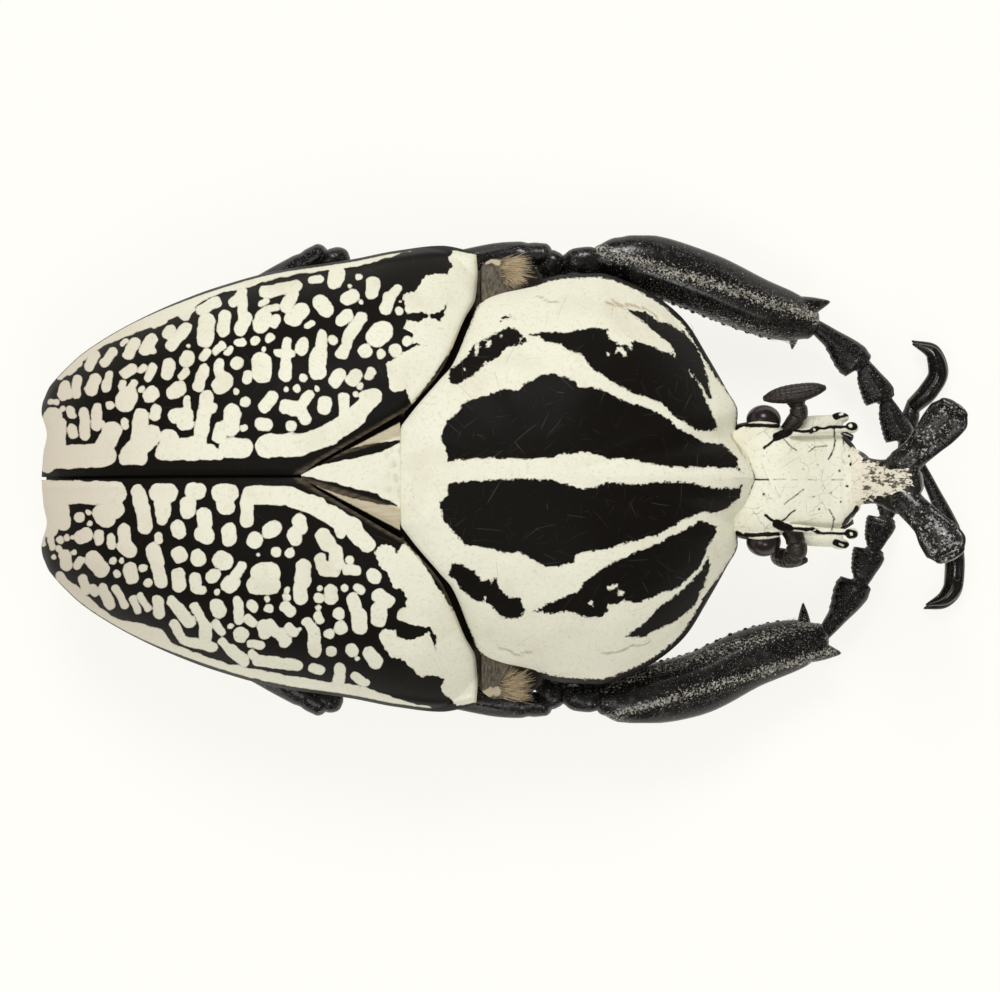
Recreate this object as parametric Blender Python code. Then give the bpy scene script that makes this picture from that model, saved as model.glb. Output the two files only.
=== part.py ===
"""Goliath beetle: a dried male specimen that lies on its folded legs, at life size.

The head points along +X, the beetle's left side along +Y and its back along +Z. The origin is on the
surface that it lies on, under the middle of its box. Lengths are in millimetres while the solids are
shaped, and every finished mesh is scaled to metres.
"""
import math

import bmesh
import bpy
from mathutils import Matrix, Vector

METRES = 0.001
GAP = 0.3
GROUND = (120.0, 80.0, 10.0)
UP = Vector((0.0, 0.0, 1.0))
SIDES = {"left": 1.0, "right": -1.0}
SMOOTH_UNDER = math.radians(40.0)

# Wing cases: half width of the pair, height of the margin and height of the back, along X.
ELYTRA_WIDTH = [(-46.6, 7.6), (-45.6, 9.7), (-44.7, 10.6), (-42.7, 12.5), (-39.9, 14.4), (-36.8, 16.1),
                (-33.3, 17.7), (-29.3, 19.2), (-23.1, 20.9), (-15.2, 22.1), (-11.0, 22.9), (-6.4, 23.4),
                (-2.6, 22.8), (4.4, 22.6)]
ELYTRA_MARGIN = [(-46.6, 12.2), (-40.0, 11.8), (-20.0, 13.0), (-2.6, 14.8), (4.4, 14.8)]
ELYTRA_BACK = [(-46.6, 15.0), (-44.5, 18.2), (-40.0, 21.9), (-34.0, 24.9), (-26.0, 27.0), (-18.0, 27.8),
               (-8.0, 27.4), (-2.6, 26.6), (4.4, 25.6)]
ELYTRON_FRONT = [(-9.8, 6.5), (-6.3, 10.6), (-4.0, 15.9), (-2.95, 18.0), (-2.75, 20.6), (-2.9, 22.7)]
ELYTRON_APEX = [(-46.5, 0.16), (-46.3, 2.6), (-45.95, 4.4), (-46.6, 6.9), (-46.3, 8.7)]
ELYTRON_THICK = 1.0
SHELL_STEPS = (18, 9)
UNDER_SHELL = 1.95
BACK_POWERS = (2.5, 0.62)

# Shoulders of the wing cases: how far they drop, where that starts and over what length and width.
SHOULDER_DROP = 3.2
SHOULDER_START = -12.0
SHOULDER_LENGTH = 9.3
SHOULDER_HALF = 18.0
SHOULDER_KEEP = 0.45

# Scutellum: the base line, its half width and the tip between the wing cases.
SCUTELLUM_BASE = (-10.95, 5.4)
SCUTELLUM_TIP = (-20.6, 0.16)
SCUTELLUM_EDGE = (-18.4, 1.45)
SCUTELLUM_THICK = 2.2
SCUTELLUM_SUNK = 0.3
SCUTELLUM_DIP = 0.3
SCUTELLUM_TAPER = 0.96
SCUTELLUM_STEPS = (8, 4)

# Prothorax: half outline from above, front point to middle of the base, and the rim's height along X.
PROTHORAX_OUTLINE = [(25.0, 0.0), (24.3, 2.6), (23.2, 4.6), (23.3, 6.6), (22.2, 8.9), (20.3, 12.3),
                     (18.1, 15.8), (15.2, 18.3), (12.3, 19.8), (9.4, 20.65), (6.0, 20.5), (2.6, 19.7),
                     (-0.6, 18.8), (-2.6, 17.4), (-3.4, 15.6), (-5.3, 11.0), (-6.5, 9.6), (-9.6, 5.9),
                     (-10.4, 4.6), (-10.6, 0.0)]
PROTHORAX_RIM = [(-10.6, 26.7), (-9.6, 26.3), (-6.5, 25.5), (-5.3, 24.7), (-3.4, 21.0), (-2.6, 19.2),
                 (-0.6, 16.8), (2.6, 15.2), (9.4, 14.0), (15.2, 14.2), (20.3, 15.2), (23.2, 17.0), (25.0, 19.6)]
PROTHORAX_CROWN = (3.5, 28.7)
PROTHORAX_KEEL = 8.6
PROTHORAX_ROWS = (7, 4)
PROTHORAX_SIDES = 40

# Hind body: where the rings of the thorax, the abdomen and the last plate stand along X.
THORAX_RINGS = (-16.2, -13.0, -10.0, -7.0, -5.0, -3.4, -2.45, -2.3, -1.0, 0.4, 1.8, 2.9, 3.8, 4.4)
ABDOMEN_RINGS = (-42.6, -41.0, -30.0, -24.0, -18.8, -16.5)
PYGIDIUM_RINGS = (-46.1, -45.8, -45.2, -44.4, -43.6, -42.9)
TRUNK_KEEL = [(-46.6, 9.6), (-44.0, 8.4), (-40.0, 7.4), (-28.0, 6.6), (-16.0, 5.4), (-6.0, 4.9), (4.4, 6.4)]
SHOULDER_WIDTH = [(-46.6, 0.0), (-2.45, 0.0), (-2.3, 0.5), (-1.0, 1.3), (1.8, 1.2), (2.9, 0.6), (4.4, -1.6)]
STERNITE_EDGES = (-21.5, -26.5, -31.0, -35.2, -39.2)
STERNITE_STEP = 0.45
STERNITE_RINGS = (-0.8, 0.0, 0.4)
WAIST_RISE = 0.9
WAIST_ROOM = 0.5
NECK_X = -2.4
REAR_SHARE = 0.1

# Head: its middle line, (x, half width, top, underside), and the forms that it carries on each side.
HEAD_MIDDLE = -0.25
HEAD_SECTIONS = [(19.5, 4.6, 16.4, 12.4), (22.5, 5.5, 18.4, 11.8), (25.0, 5.95, 19.5, 11.3),
                 (27.2, 5.6, 19.7, 11.2), (29.0, 5.0, 19.3, 11.5), (32.0, 4.85, 18.4, 12.4),
                 (34.0, 4.6, 17.7, 13.2), (34.9, 3.7, 17.2, 13.8)]
HEAD_RIDGE = [(27.6, 4.6, 19.2, 0.35, 0.35), (29.6, 4.9, 19.15, 0.35, 0.35), (32.2, 5.1, 18.5, 0.35, 0.35),
              (34.4, 5.2, 17.7, 0.35, 0.35)]
HEAD_LOBE = [(29.0, 4.6, 15.4, 0.9, 1.2), (30.4, 5.5, 15.6, 1.0, 1.1), (33.6, 5.75, 15.6, 0.9, 0.9)]
HEAD_KNOBS = [((31.1, 5.05, 18.9), (0.5, 0.5, 0.4)), ((34.75, 5.3, 17.3), (0.75, 0.6, 0.7)),
              ((33.6, 6.35, 15.9), (0.95, 0.6, 0.65))]
EYE_PLACE = (25.9, 6.1, 16.6)
EYE_SIZE = (1.75, 1.5, 1.9)
CHIN = [(26.2, 0.0, 10.1, 2.2, 1.3), (29.0, 0.0, 10.2, 3.2, 1.5), (32.0, 0.0, 11.2, 3.0, 1.5),
        (33.8, 0.0, 12.3, 1.9, 1.0)]
PALP = [(30.0, 2.4, 9.7, 0.5, 0.5), (31.6, 3.9, 9.2, 0.5, 0.45), (33.8, 4.5, 9.4, 0.6, 0.5),
        (35.0, 4.2, 9.8, 0.35, 0.35)]
ANTENNAE = {
    "left": ([(28.35, 4.6, 16.9, 0.8, 0.75), (29.0, 5.6, 17.2, 0.85, 0.8), (29.3, 6.7, 17.5, 0.95, 0.8),
              (29.1, 7.5, 17.7, 0.85, 0.7), (28.6, 8.0, 17.9, 0.6, 0.55)],
             [(26.0, 7.95, 18.2, 0.45, 0.6), (27.2, 8.2, 18.3, 0.85, 0.85), (29.4, 8.5, 18.4, 1.0, 0.85),
              (31.0, 8.85, 18.45, 0.8, 0.7), (31.9, 9.0, 18.5, 0.45, 0.5)]),
    "right": ([(28.35, -4.9, 16.9, 0.8, 0.75), (29.0, -6.0, 17.1, 0.85, 0.8), (29.2, -7.1, 17.0, 0.95, 0.8),
               (28.9, -7.9, 16.6, 0.85, 0.7), (28.2, -8.0, 16.3, 0.6, 0.55)],
              [(30.1, -8.2, 16.5, 0.6, 0.7), (28.8, -8.1, 15.6, 1.0, 0.85), (27.4, -7.8, 13.9, 0.95, 0.85),
               (26.9, -7.3, 12.2, 0.5, 0.5)]),
}

# Horn: (x, y, z, half width, half depth) along the stem and along each arm of the fork.
HORN_STEM = [(35.25, -0.15, 16.25, 3.0, 1.45), (36.1, -0.25, 16.65, 2.35, 1.35), (37.2, -0.35, 17.25, 2.2, 1.3),
             (38.3, -0.5, 17.9, 2.45, 1.3), (39.5, -0.6, 18.6, 3.05, 1.35), (40.6, -0.45, 19.1, 2.4, 1.2),
             (41.6, -0.35, 19.4, 0.9, 0.8)]
HORN_ARMS = {
    "left": [(39.7, 1.4, 18.8, 1.5, 1.3), (40.9, 2.4, 19.3, 1.45, 1.2), (42.1, 3.65, 20.0, 1.65, 1.1),
             (43.3, 5.0, 20.7, 2.0, 1.0), (44.2, 6.1, 21.3, 2.1, 0.85), (44.75, 6.95, 21.6, 1.55, 0.65)],
    "right": [(39.7, -1.9, 18.8, 1.5, 1.3), (40.8, -3.05, 19.3, 1.45, 1.2), (42.1, -4.4, 20.0, 1.55, 1.1),
              (43.1, -5.75, 20.7, 2.0, 1.0), (43.9, -6.85, 21.3, 2.15, 0.85), (44.35, -7.75, 21.6, 1.55, 0.65)],
}

# Hips: middle and radii on the left side; the right side mirrors them.
COXAE = {
    "front": ((16.0, 6.2, 7.2), (2.5, 3.7, 3.0)),
    "mid": ((-3.6, 5.8, 5.6), (2.4, 3.3, 2.4)),
    "hind": ((-12.4, 6.6, 5.9), (2.4, 4.8, 2.2)),
}
# Thighs: start, knee, half width and half depth.
FEMORA = {
    "front": ((15.2, 9.0, 7.6), (7.9, 21.9, 10.2), 2.5, 1.9),
    "mid": ((-3.2, 9.2, 5.6), (5.0, 22.0, 9.7), 2.3, 1.7),
    "hind": ((-13.4, 11.4, 5.8), (-17.3, 22.3, 8.9), 2.6, 1.8),
}
KNEE_SHIFT = {"left": 0.0, "right": -0.7}

# Front legs, a pose for each side; the middle and hind legs mirror one pose.
FRONT_LEGS = {
    "left": {
        "shin": [(9.6, 22.4, 10.4, 1.25, 1.2), (11.3, 22.5, 10.2, 2.0, 1.7), (14.2, 21.9, 9.6, 2.8, 2.1),
                 (19.8, 20.0, 8.3, 3.0, 2.3), (25.9, 17.45, 6.7, 2.65, 2.1), (29.2, 16.4, 5.8, 2.1, 1.7),
                 (30.8, 15.9, 5.4, 1.15, 1.1)],
        "teeth": [((29.0, 17.2, 5.7), (32.9, 18.1, 5.2), 1.4), ((29.3, 15.1, 5.3), (29.1, 13.3, 4.8), 0.65)],
        "foot": [(31.0, 15.95, 5.1), (36.4, 11.9, 4.3), (38.65, 8.3, 4.0), (40.65, 4.3, 3.8), (41.95, 2.1, 3.4),
                 (45.85, -5.9, 1.7)],
        "claw": [(45.75, -5.6, 1.6), (46.05, -8.4, 0.65), (45.8, -10.7, 0.5), (44.7, -12.2, 0.45),
                 (42.6, -12.95, 0.4)],
    },
    "right": {
        "shin": [(9.9, -22.5, 10.4, 1.25, 1.2), (11.4, -22.4, 10.2, 2.0, 1.7), (14.0, -21.9, 9.7, 2.8, 2.1),
                 (19.0, -20.7, 8.4, 3.05, 2.3), (25.1, -17.9, 6.8, 2.85, 2.1), (29.7, -16.5, 5.8, 2.2, 1.7),
                 (31.9, -15.9, 5.4, 1.15, 1.1)],
        "teeth": [((30.1, -17.1, 5.7), (34.0, -17.5, 5.2), 1.4),
                  ((30.3, -15.0, 5.3), (30.2, -12.4, 4.8), 0.75)],
        "foot": [(32.1, -15.8, 5.0), (36.2, -10.5, 3.9), (37.5, -7.1, 3.2), (38.8, -3.9, 2.5),
                 (39.85, -0.9, 1.5), (41.5, 7.8, 0.65)],
        "claw": [(41.5, 7.6, 0.65), (43.2, 9.3, 0.6), (44.15, 11.2, 0.5), (43.6, 13.2, 0.45),
                 (41.4, 14.3, 0.4)],
    },
}
MID_LEG = {
    "shin": [(4.0, 22.7, 9.6, 1.15, 1.15), (1.6, 22.6, 9.0, 1.45, 1.35), (-5.5, 21.3, 7.2, 1.6, 1.45),
             (-13.0, 18.9, 4.6, 1.95, 1.5)],
    "teeth": [((-4.4, 21.6, 7.3), (-6.6, 22.7, 6.6), 0.7), ((-12.2, 20.2, 4.6), (-14.6, 21.4, 3.9), 0.7),
              ((-12.4, 17.6, 4.3), (-15.2, 17.0, 3.0), 0.5)],
    "foot": [(-12.9, 18.9, 4.3), (-17.5, 17.6, 2.5), (-20.2, 16.7, 1.6), (-22.8, 15.8, 1.0),
             (-25.2, 14.9, 0.65), (-30.0, 13.2, 0.5)],
    "claw": [(-29.8, 13.3, 0.5), (-32.0, 13.3, 0.45), (-33.4, 12.4, 0.4), (-33.8, 11.0, 0.35),
             (-33.2, 9.8, 0.3)],
}
HIND_LEG = {
    "shin": [(-18.6, 22.7, 8.9, 1.2, 1.2), (-20.4, 21.6, 8.4, 1.4, 1.35), (-24.0, 19.4, 7.3, 1.5, 1.4),
             (-29.5, 16.2, 5.5, 1.7, 1.5), (-34.6, 13.2, 3.9, 2.05, 1.5)],
    "teeth": [((-26.0, 18.3, 6.6), (-28.0, 18.9, 5.8), 0.7), ((-33.9, 14.6, 3.9), (-36.4, 15.4, 3.2), 0.7),
              ((-34.0, 12.0, 3.6), (-36.0, 10.2, 2.6), 0.5)],
    "foot": [(-34.4, 13.4, 3.7), (-38.2, 10.9, 2.2), (-40.3, 9.2, 1.4), (-42.0, 7.4, 0.9), (-43.2, 5.6, 0.6),
             (-43.2, 3.2, 0.5)],
    "claw": [(-43.2, 3.4, 0.5), (-42.4, 1.9, 0.45), (-41.1, 1.2, 0.4), (-39.9, 1.2, 0.35), (-38.9, 1.6, 0.3)],
}
THIGH_SWELL = [(0.0, 0.62, 0.7), (0.18, 0.92, 0.95), (0.45, 1.0, 1.0), (0.75, 0.8, 0.85), (1.0, 0.5, 0.62)]
FOOT_JOINTS = [(0.6, 1.32), (0.54, 1.18), (0.5, 1.08), (0.48, 1.0), (0.44, 0.88)]
CLAW_RADII = (0.8, 0.84, 0.78, 0.5, 0.1)
CLAW_SCALE = {"front": 1.0, "mid": 0.8, "hind": 0.72}
UPPER_CLAW = (0.86, 1.45)
DENTICLES = 10
DENTICLE_SPAN = (0.3, 0.5)
DENTICLE_REACH = (-0.45, 0.3)
DENTICLE_RADIUS = 0.38
LOBE_SHARES = (0.72, 0.97)
LOBE_REACH = 0.6
TOOTH_TIP = 0.12


def eased(stations, place):
    """Value at a place on a smooth curve through (place, value) stations, without overshoot."""
    if place <= stations[0][0]:
        return stations[0][1]
    if place >= stations[-1][0]:
        return stations[-1][1]
    spans = [after[0] - before[0] for before, after in zip(stations, stations[1:])]
    rises = [(after[1] - before[1]) / span for before, after, span in zip(stations, stations[1:], spans)]
    index = max(i for i, station in enumerate(stations) if station[0] <= place)

    def slope(i):
        if i in (0, len(rises)):
            return rises[min(i, len(rises) - 1)]
        before, after = rises[i - 1], rises[i]
        return 0.0 if before * after <= 0.0 else 2.0 * before * after / (before + after)

    span = spans[index]
    t = (place - stations[index][0]) / span
    start, end = stations[index][1], stations[index + 1][1]
    return ((2 * t**3 - 3 * t**2 + 1) * start + (t**3 - 2 * t**2 + t) * span * slope(index)
            + (3 * t**2 - 2 * t**3) * end + (t**3 - t**2) * span * slope(index + 1))


def signed_power(value, power):
    """A value raised to a power with its sign kept."""
    return math.copysign(abs(value) ** power, value)


class Path:
    """A smooth curve through points, read by the share of its length."""

    def __init__(self, points):
        places = [0.0]
        for before, after in zip(points, points[1:]):
            places.append(places[-1] + (Vector(after) - Vector(before)).length)
        self.places = [place / places[-1] for place in places]
        self.tables = [list(zip(self.places, values)) for values in zip(*points)]

    def at(self, share):
        """Point at a share of the length, from 0 to 1."""
        return Vector([eased(table, share) for table in self.tables])


class Bar:
    """A tapering bar through (x, y, z, half width, half depth) stations."""

    def __init__(self, stations):
        self.path = Path([station[:3] for station in stations])
        self.widths = [(share, station[3]) for share, station in zip(self.path.places, stations)]
        self.depths = [(share, station[4]) for share, station in zip(self.path.places, stations)]

    def frame(self, share):
        """Middle, direction of travel, and the directions to the side and above."""
        step = 0.02
        ahead = (self.path.at(min(share + step, 1.0)) - self.path.at(max(share - step, 0.0))).normalized()
        guide = UP if abs(ahead.z) < 0.95 else Vector((1.0, 0.0, 0.0))
        across = ahead.cross(guide).normalized()
        return self.path.at(share), ahead, across, across.cross(ahead)

    def skin(self, share, angle, out=0.0, square=1.0):
        """Point on the bar's surface at an angle round it, or out from it."""
        middle, _, across, above = self.frame(share)
        wide = eased(self.widths, share) + out
        deep = eased(self.depths, share) + out
        return (middle + across * signed_power(math.cos(angle), square) * wide
                + above * signed_power(math.sin(angle), square) * deep)


def clear_scene():
    """Remove what the scene holds."""
    for item in list(bpy.data.objects):
        bpy.data.objects.remove(item, do_unlink=True)


def coating(name, colour, roughness, metallic=0.0):
    """A material with one Principled BSDF."""
    material = bpy.data.materials.new(name)
    material.use_nodes = True
    shader = material.node_tree.nodes["Principled BSDF"]
    shader.inputs["Base Color"].default_value = (*colour, 1.0)
    shader.inputs["Roughness"].default_value = roughness
    shader.inputs["Metallic"].default_value = metallic
    return material


def to_object(name, bm):
    """An object in the scene from a bmesh, its faces pointing out."""
    bmesh.ops.recalc_face_normals(bm, faces=bm.faces)
    if bm.calc_volume(signed=True) < 0.0:
        bmesh.ops.reverse_faces(bm, faces=bm.faces)
    mesh = bpy.data.meshes.new(name)
    bm.to_mesh(mesh)
    bm.free()
    item = bpy.data.objects.new(name, mesh)
    bpy.context.scene.collection.objects.link(item)
    return item


def moved_sphere(name, rows, sides, place):
    """A sphere whose rows of vertices go where place(row, angle) says; rows 0 and rows + 1 are its poles."""
    bm = bmesh.new()
    bmesh.ops.create_uvsphere(bm, u_segments=sides, v_segments=rows + 1, radius=1.0)
    for vertex in bm.verts:
        height = max(-1.0, min(1.0, vertex.co.z))
        row = round(math.acos(height) / math.pi * (rows + 1))
        vertex.co = place(row, math.atan2(vertex.co.y, vertex.co.x))
    return to_object(name, bm)


def ellipsoid(name, centre, radii, sides=12, rows=7, grow=0.0):
    """An ellipsoid, or the room that it needs."""
    bm = bmesh.new()
    bmesh.ops.create_uvsphere(bm, u_segments=sides, v_segments=rows, radius=1.0)
    bmesh.ops.scale(bm, vec=Vector(radii) + Vector((grow, grow, grow)), verts=bm.verts)
    bmesh.ops.translate(bm, vec=Vector(centre), verts=bm.verts)
    return to_object(name, bm)


def limb(name, stations, sides=8, rings=6, cap=0.35, square=1.0, grow=0.0):
    """A closed bar through the stations, or the room that it needs."""
    bar = Bar(stations)

    def place(row, angle):
        share = (min(max(row, 1), rings) - 1) / (rings - 1)
        middle, ahead, _, _ = bar.frame(share)
        end = -1.0 if row <= 1 else 1.0 if row >= rings else 0.0
        if row in (0, rings + 1):
            return middle + ahead * end * (cap * eased(bar.depths, share) + grow)
        return bar.skin(share, angle, grow, square) + ahead * end * grow

    return moved_sphere(name, rings, sides, place)


def spike(name, root, tip, radius, sides=5):
    """A tapered tooth from its root to its tip."""
    root, tip = Vector(root), Vector(tip)
    bm = bmesh.new()
    bmesh.ops.create_cone(bm, cap_ends=True, segments=sides, radius1=radius, radius2=radius * TOOTH_TIP,
                          depth=(tip - root).length)
    turn = (tip - root).to_track_quat("Z", "Y").to_matrix().to_4x4()
    bmesh.ops.transform(bm, matrix=Matrix.Translation(root.lerp(tip, 0.5)) @ turn, verts=bm.verts)
    return to_object(name, bm)


def keep_largest(item):
    """Drop every closed surface but the largest."""
    bm = bmesh.new()
    bm.from_mesh(item.data)
    left = set(bm.faces)
    surfaces = []
    while left:
        surface = [left.pop()]
        for face in surface:
            for edge in face.edges:
                for other in edge.link_faces:
                    if other in left:
                        left.discard(other)
                        surface.append(other)
        surfaces.append(surface)
    surfaces.sort(key=lambda surface: sum(face.calc_area() for face in surface))
    for surface in surfaces[:-1]:
        bmesh.ops.delete(bm, geom=surface, context="FACES")
    bm.to_mesh(item.data)
    bm.free()


def applied(item):
    """The object with its modifiers applied to its mesh."""
    depsgraph = bpy.context.evaluated_depsgraph_get()
    mesh = bpy.data.meshes.new_from_object(item.evaluated_get(depsgraph))
    item.modifiers.clear()
    item.data = mesh
    return item


def is_closed(mesh):
    """Whether a mesh has faces, and two of them at every edge."""
    bm = bmesh.new()
    bm.from_mesh(mesh)
    closed = bool(bm.faces) and all(edge.is_manifold for edge in bm.edges)
    bm.free()
    return closed


def boolean(target, others, operation):
    """Apply one Boolean of a collection of other objects to the target, and remove them."""
    group = bpy.data.collections.new(target.name + "_pieces")
    bpy.context.scene.collection.children.link(group)
    for other in others:
        bpy.context.scene.collection.objects.unlink(other)
        group.objects.link(other)
    whole = target.data
    for solver in ("EXACT", "MANIFOLD"):
        modifier = target.modifiers.new("pieces", "BOOLEAN")
        modifier.operation = operation
        modifier.operand_type = "COLLECTION"
        modifier.collection = group
        modifier.solver = solver
        applied(target)
        if is_closed(target.data):
            break
        target.data = whole
    for other in others:
        bpy.data.objects.remove(other, do_unlink=True)
    bpy.data.collections.remove(group)
    keep_largest(target)


def join(name, pieces):
    """Join pieces into one closed body with the name of its node."""
    body = pieces[0]
    body.name = name
    if len(pieces) > 1:
        boolean(body, pieces[1:], "UNION")
    return body


def level_with_floor(item):
    """Cut off what would reach below the floor, which leaves a small flat to rest on."""
    bm = bmesh.new()
    bmesh.ops.create_cube(bm, size=1.0)
    bmesh.ops.scale(bm, vec=GROUND, verts=bm.verts)
    bmesh.ops.translate(bm, vec=(0.0, 0.0, -GROUND[2] / 2), verts=bm.verts)
    boolean(item, [to_object("ground", bm)], "DIFFERENCE")
    return item


def swollen(item, gap):
    """A copy whose surface stands out by the gap."""
    bm = bmesh.new()
    bm.from_mesh(item.data)
    bm.normal_update()
    for vertex, shift in [(vertex, vertex.normal * gap) for vertex in bm.verts]:
        vertex.co += shift
    return to_object(item.name + "_room", bm)


class Form:
    """A plain form that can be made again, larger by a gap, as the room that a neighbour leaves for it."""

    def __init__(self, maker, *values, **options):
        self.maker, self.values, self.options = maker, values, options

    def solid(self, name, grow=0.0):
        """The form as an object."""
        return self.maker(name, *self.values, grow=grow, **self.options)


def make_room(item, neighbours):
    """Cut a body clear of its neighbours, plain forms or finished solids, by the gap."""
    boolean(item, [neighbour.solid("room", GAP) if isinstance(neighbour, Form) else swollen(neighbour, GAP)
                   for neighbour in neighbours], "DIFFERENCE")


def back_height(x, y):
    """Height of the arched back over a point of the plan."""
    margin, back = eased(ELYTRA_MARGIN, x), eased(ELYTRA_BACK, x)
    reach = min(abs(y) / (eased(ELYTRA_WIDTH, x) + 0.02), 1.0)
    return margin + (back - margin) * (1.0 - reach ** BACK_POWERS[0]) ** BACK_POWERS[1]


def shell_height(x, y):
    """Height of the wing cases, which fall away towards the shoulders in front."""
    front = min(max((x - SHOULDER_START) / SHOULDER_LENGTH, 0.0), 1.0) ** 2
    aside = min(abs(y) / SHOULDER_HALF, 1.0)
    margin = eased(ELYTRA_MARGIN, x)
    height = back_height(x, y)
    return max(height - SHOULDER_DROP * front * aside, margin + (height - margin) * SHOULDER_KEEP)


def elytron(side):
    """One wing case: a curved shell between the suture and the margin."""
    front, apex = Path(ELYTRON_FRONT), Path(ELYTRON_APEX)
    inner = Path([ELYTRON_FRONT[0], SCUTELLUM_EDGE, SCUTELLUM_TIP, (-33.0, 0.16), ELYTRON_APEX[0]])
    outer = Path([ELYTRON_FRONT[-1]] + list(reversed(ELYTRA_WIDTH[2:-2])) + [ELYTRON_APEX[-1]])
    bm = bmesh.new()
    bmesh.ops.create_grid(bm, x_segments=SHELL_STEPS[0], y_segments=SHELL_STEPS[1], size=0.5)
    for vertex in bm.verts:
        along = vertex.co.x + 0.5
        across = math.sin((vertex.co.y + 0.5) * math.pi / 2) ** 0.9
        point = inner.at(along).lerp(outer.at(along), across)
        for edge, share in ((front, 1.0 - along), (apex, along)):
            point += (edge.at(across) - edge.at(0.0).lerp(edge.at(1.0), across)) * share**3
        vertex.co = (point.x, point.y * SIDES[side], shell_height(point.x, point.y))
    item = to_object("elytron_" + side, bm)
    if item.data.polygons[0].normal.z < 0.0:
        item.data.flip_normals()
    shell = item.modifiers.new("thickness", "SOLIDIFY")
    shell.thickness = ELYTRON_THICK
    shell.offset = -1.0
    return applied(item)


def scutellum():
    """The small triangular plate between the bases of the wing cases."""
    base_x, base_y = SCUTELLUM_BASE
    tip_x = SCUTELLUM_TIP[0] + 1.0
    bm = bmesh.new()
    bmesh.ops.create_grid(bm, x_segments=SCUTELLUM_STEPS[0], y_segments=SCUTELLUM_STEPS[1], size=0.5)
    for vertex in bm.verts:
        along, across = vertex.co.x + 0.5, vertex.co.y * 2.0
        x = base_x + (tip_x - base_x) * along
        y = across * base_y * (1.0 - along * SCUTELLUM_TAPER)
        dip = SCUTELLUM_DIP * (1.0 - across**2) * (1.0 - along)
        vertex.co = (x, y, shell_height(x, y) - SCUTELLUM_SUNK - dip)
    item = to_object("scutellum", bm)
    if item.data.polygons[0].normal.z < 0.0:
        item.data.flip_normals()
    plate = item.modifiers.new("thickness", "SOLIDIFY")
    plate.thickness = SCUTELLUM_THICK
    plate.offset = -1.0
    return applied(item)


def prothorax():
    """The first ring of the body: the domed shield, its side rim and the underside."""
    top_rows, bottom_rows = PROTHORAX_ROWS
    outline = Path(PROTHORAX_OUTLINE)
    crown_x, crown_z = PROTHORAX_CROWN

    def place(row, angle):
        share = abs(angle) / math.pi
        rim = outline.at(share)
        rim_z = eased(PROTHORAX_RIM, rim.x)
        if row <= top_rows:
            reach = math.sin(row / top_rows * math.pi / 2) ** 0.9
            aside = math.sin(angle) ** 2
            z = rim_z + (crown_z - rim_z) * (1.0 - reach ** (2.0 + 0.4 * aside)) ** (0.7 - 0.08 * aside)
        else:
            turn = min((row - top_rows) / (bottom_rows + 1), 1.0) * math.pi / 2
            flare = 0.85 - 0.5 * max(0.0, (share - 0.7) / 0.3)
            reach = max(math.cos(turn), 0.0) ** flare
            z = rim_z - (rim_z - PROTHORAX_KEEL) * math.sin(turn) ** 1.15
        return Vector((crown_x + (rim.x - crown_x) * reach, math.copysign(rim.y * reach, angle), z))

    return moved_sphere("prothorax", top_rows + bottom_rows, PROTHORAX_SIDES, place)


def trunk(name, rings, sides, round_rear=False, grooves=()):
    """A length of the hind body: its back fits under the shell, its belly arches down to the keel."""
    places = sorted(list(rings) + [edge + shift for edge in grooves for shift in STERNITE_RINGS])
    first, last = places[0], places[-1]

    def place(row, angle):
        x = places[min(max(row, 1), len(places)) - 1]
        closing = 1.0
        if round_rear:
            closing = math.sin(min((x - first) / (last - first) + REAR_SHARE, 1.0) * math.pi / 2) ** 0.4
        wide = (eased(ELYTRA_WIDTH, x) - UNDER_SHELL + eased(SHOULDER_WIDTH, x)) * closing
        keel = eased(TRUNK_KEEL, x)
        if x in grooves:
            keel, wide = keel + STERNITE_STEP, wide - STERNITE_STEP / 2
        height = back_height if x > NECK_X else shell_height
        waist = min(eased(ELYTRA_MARGIN, x) + WAIST_RISE, height(x, wide) - UNDER_SHELL - WAIST_ROOM)
        if row in (0, len(places) + 1):
            return Vector((x, 0.0, (waist + keel) / 2))
        cosine, sine = math.cos(angle), math.sin(angle)
        if sine >= -1e-6:
            y = signed_power(cosine, 0.8) * wide
            z = waist + (height(x, y) - UNDER_SHELL - waist) * max(sine, 0.0) ** 0.4 * closing
        else:
            y = signed_power(cosine, 0.9) * wide
            z = waist - (waist - keel) * abs(sine) ** 0.9 * closing
        return Vector((x, y, z))

    return moved_sphere(name, len(places), sides, place)


def mirrored(points, sign, middle=0.0):
    """Points of the left side taken to a side of the body, or of a part with another middle line."""
    return [(point[0], point[1] * sign + middle, *point[2:]) for point in points]


def head():
    """The head: a flat box with side ridges, beads, front knobs and side lobes."""
    box = [(x, HEAD_MIDDLE, (high + low) / 2, wide, (high - low) / 2) for x, wide, high, low in HEAD_SECTIONS]
    pieces = [limb("head", box, 16, 9, cap=0.1, square=0.55)]
    for sign in SIDES.values():
        pieces.append(limb("ridge", mirrored(HEAD_RIDGE, sign, HEAD_MIDDLE), 6, 5))
        pieces.append(limb("lobe", mirrored(HEAD_LOBE, sign, HEAD_MIDDLE), 8, 5))
        for centre, radii in HEAD_KNOBS:
            pieces.append(ellipsoid("knob", mirrored([centre], sign, HEAD_MIDDLE)[0], radii, 8, 6))
    return join("head", pieces)


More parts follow.
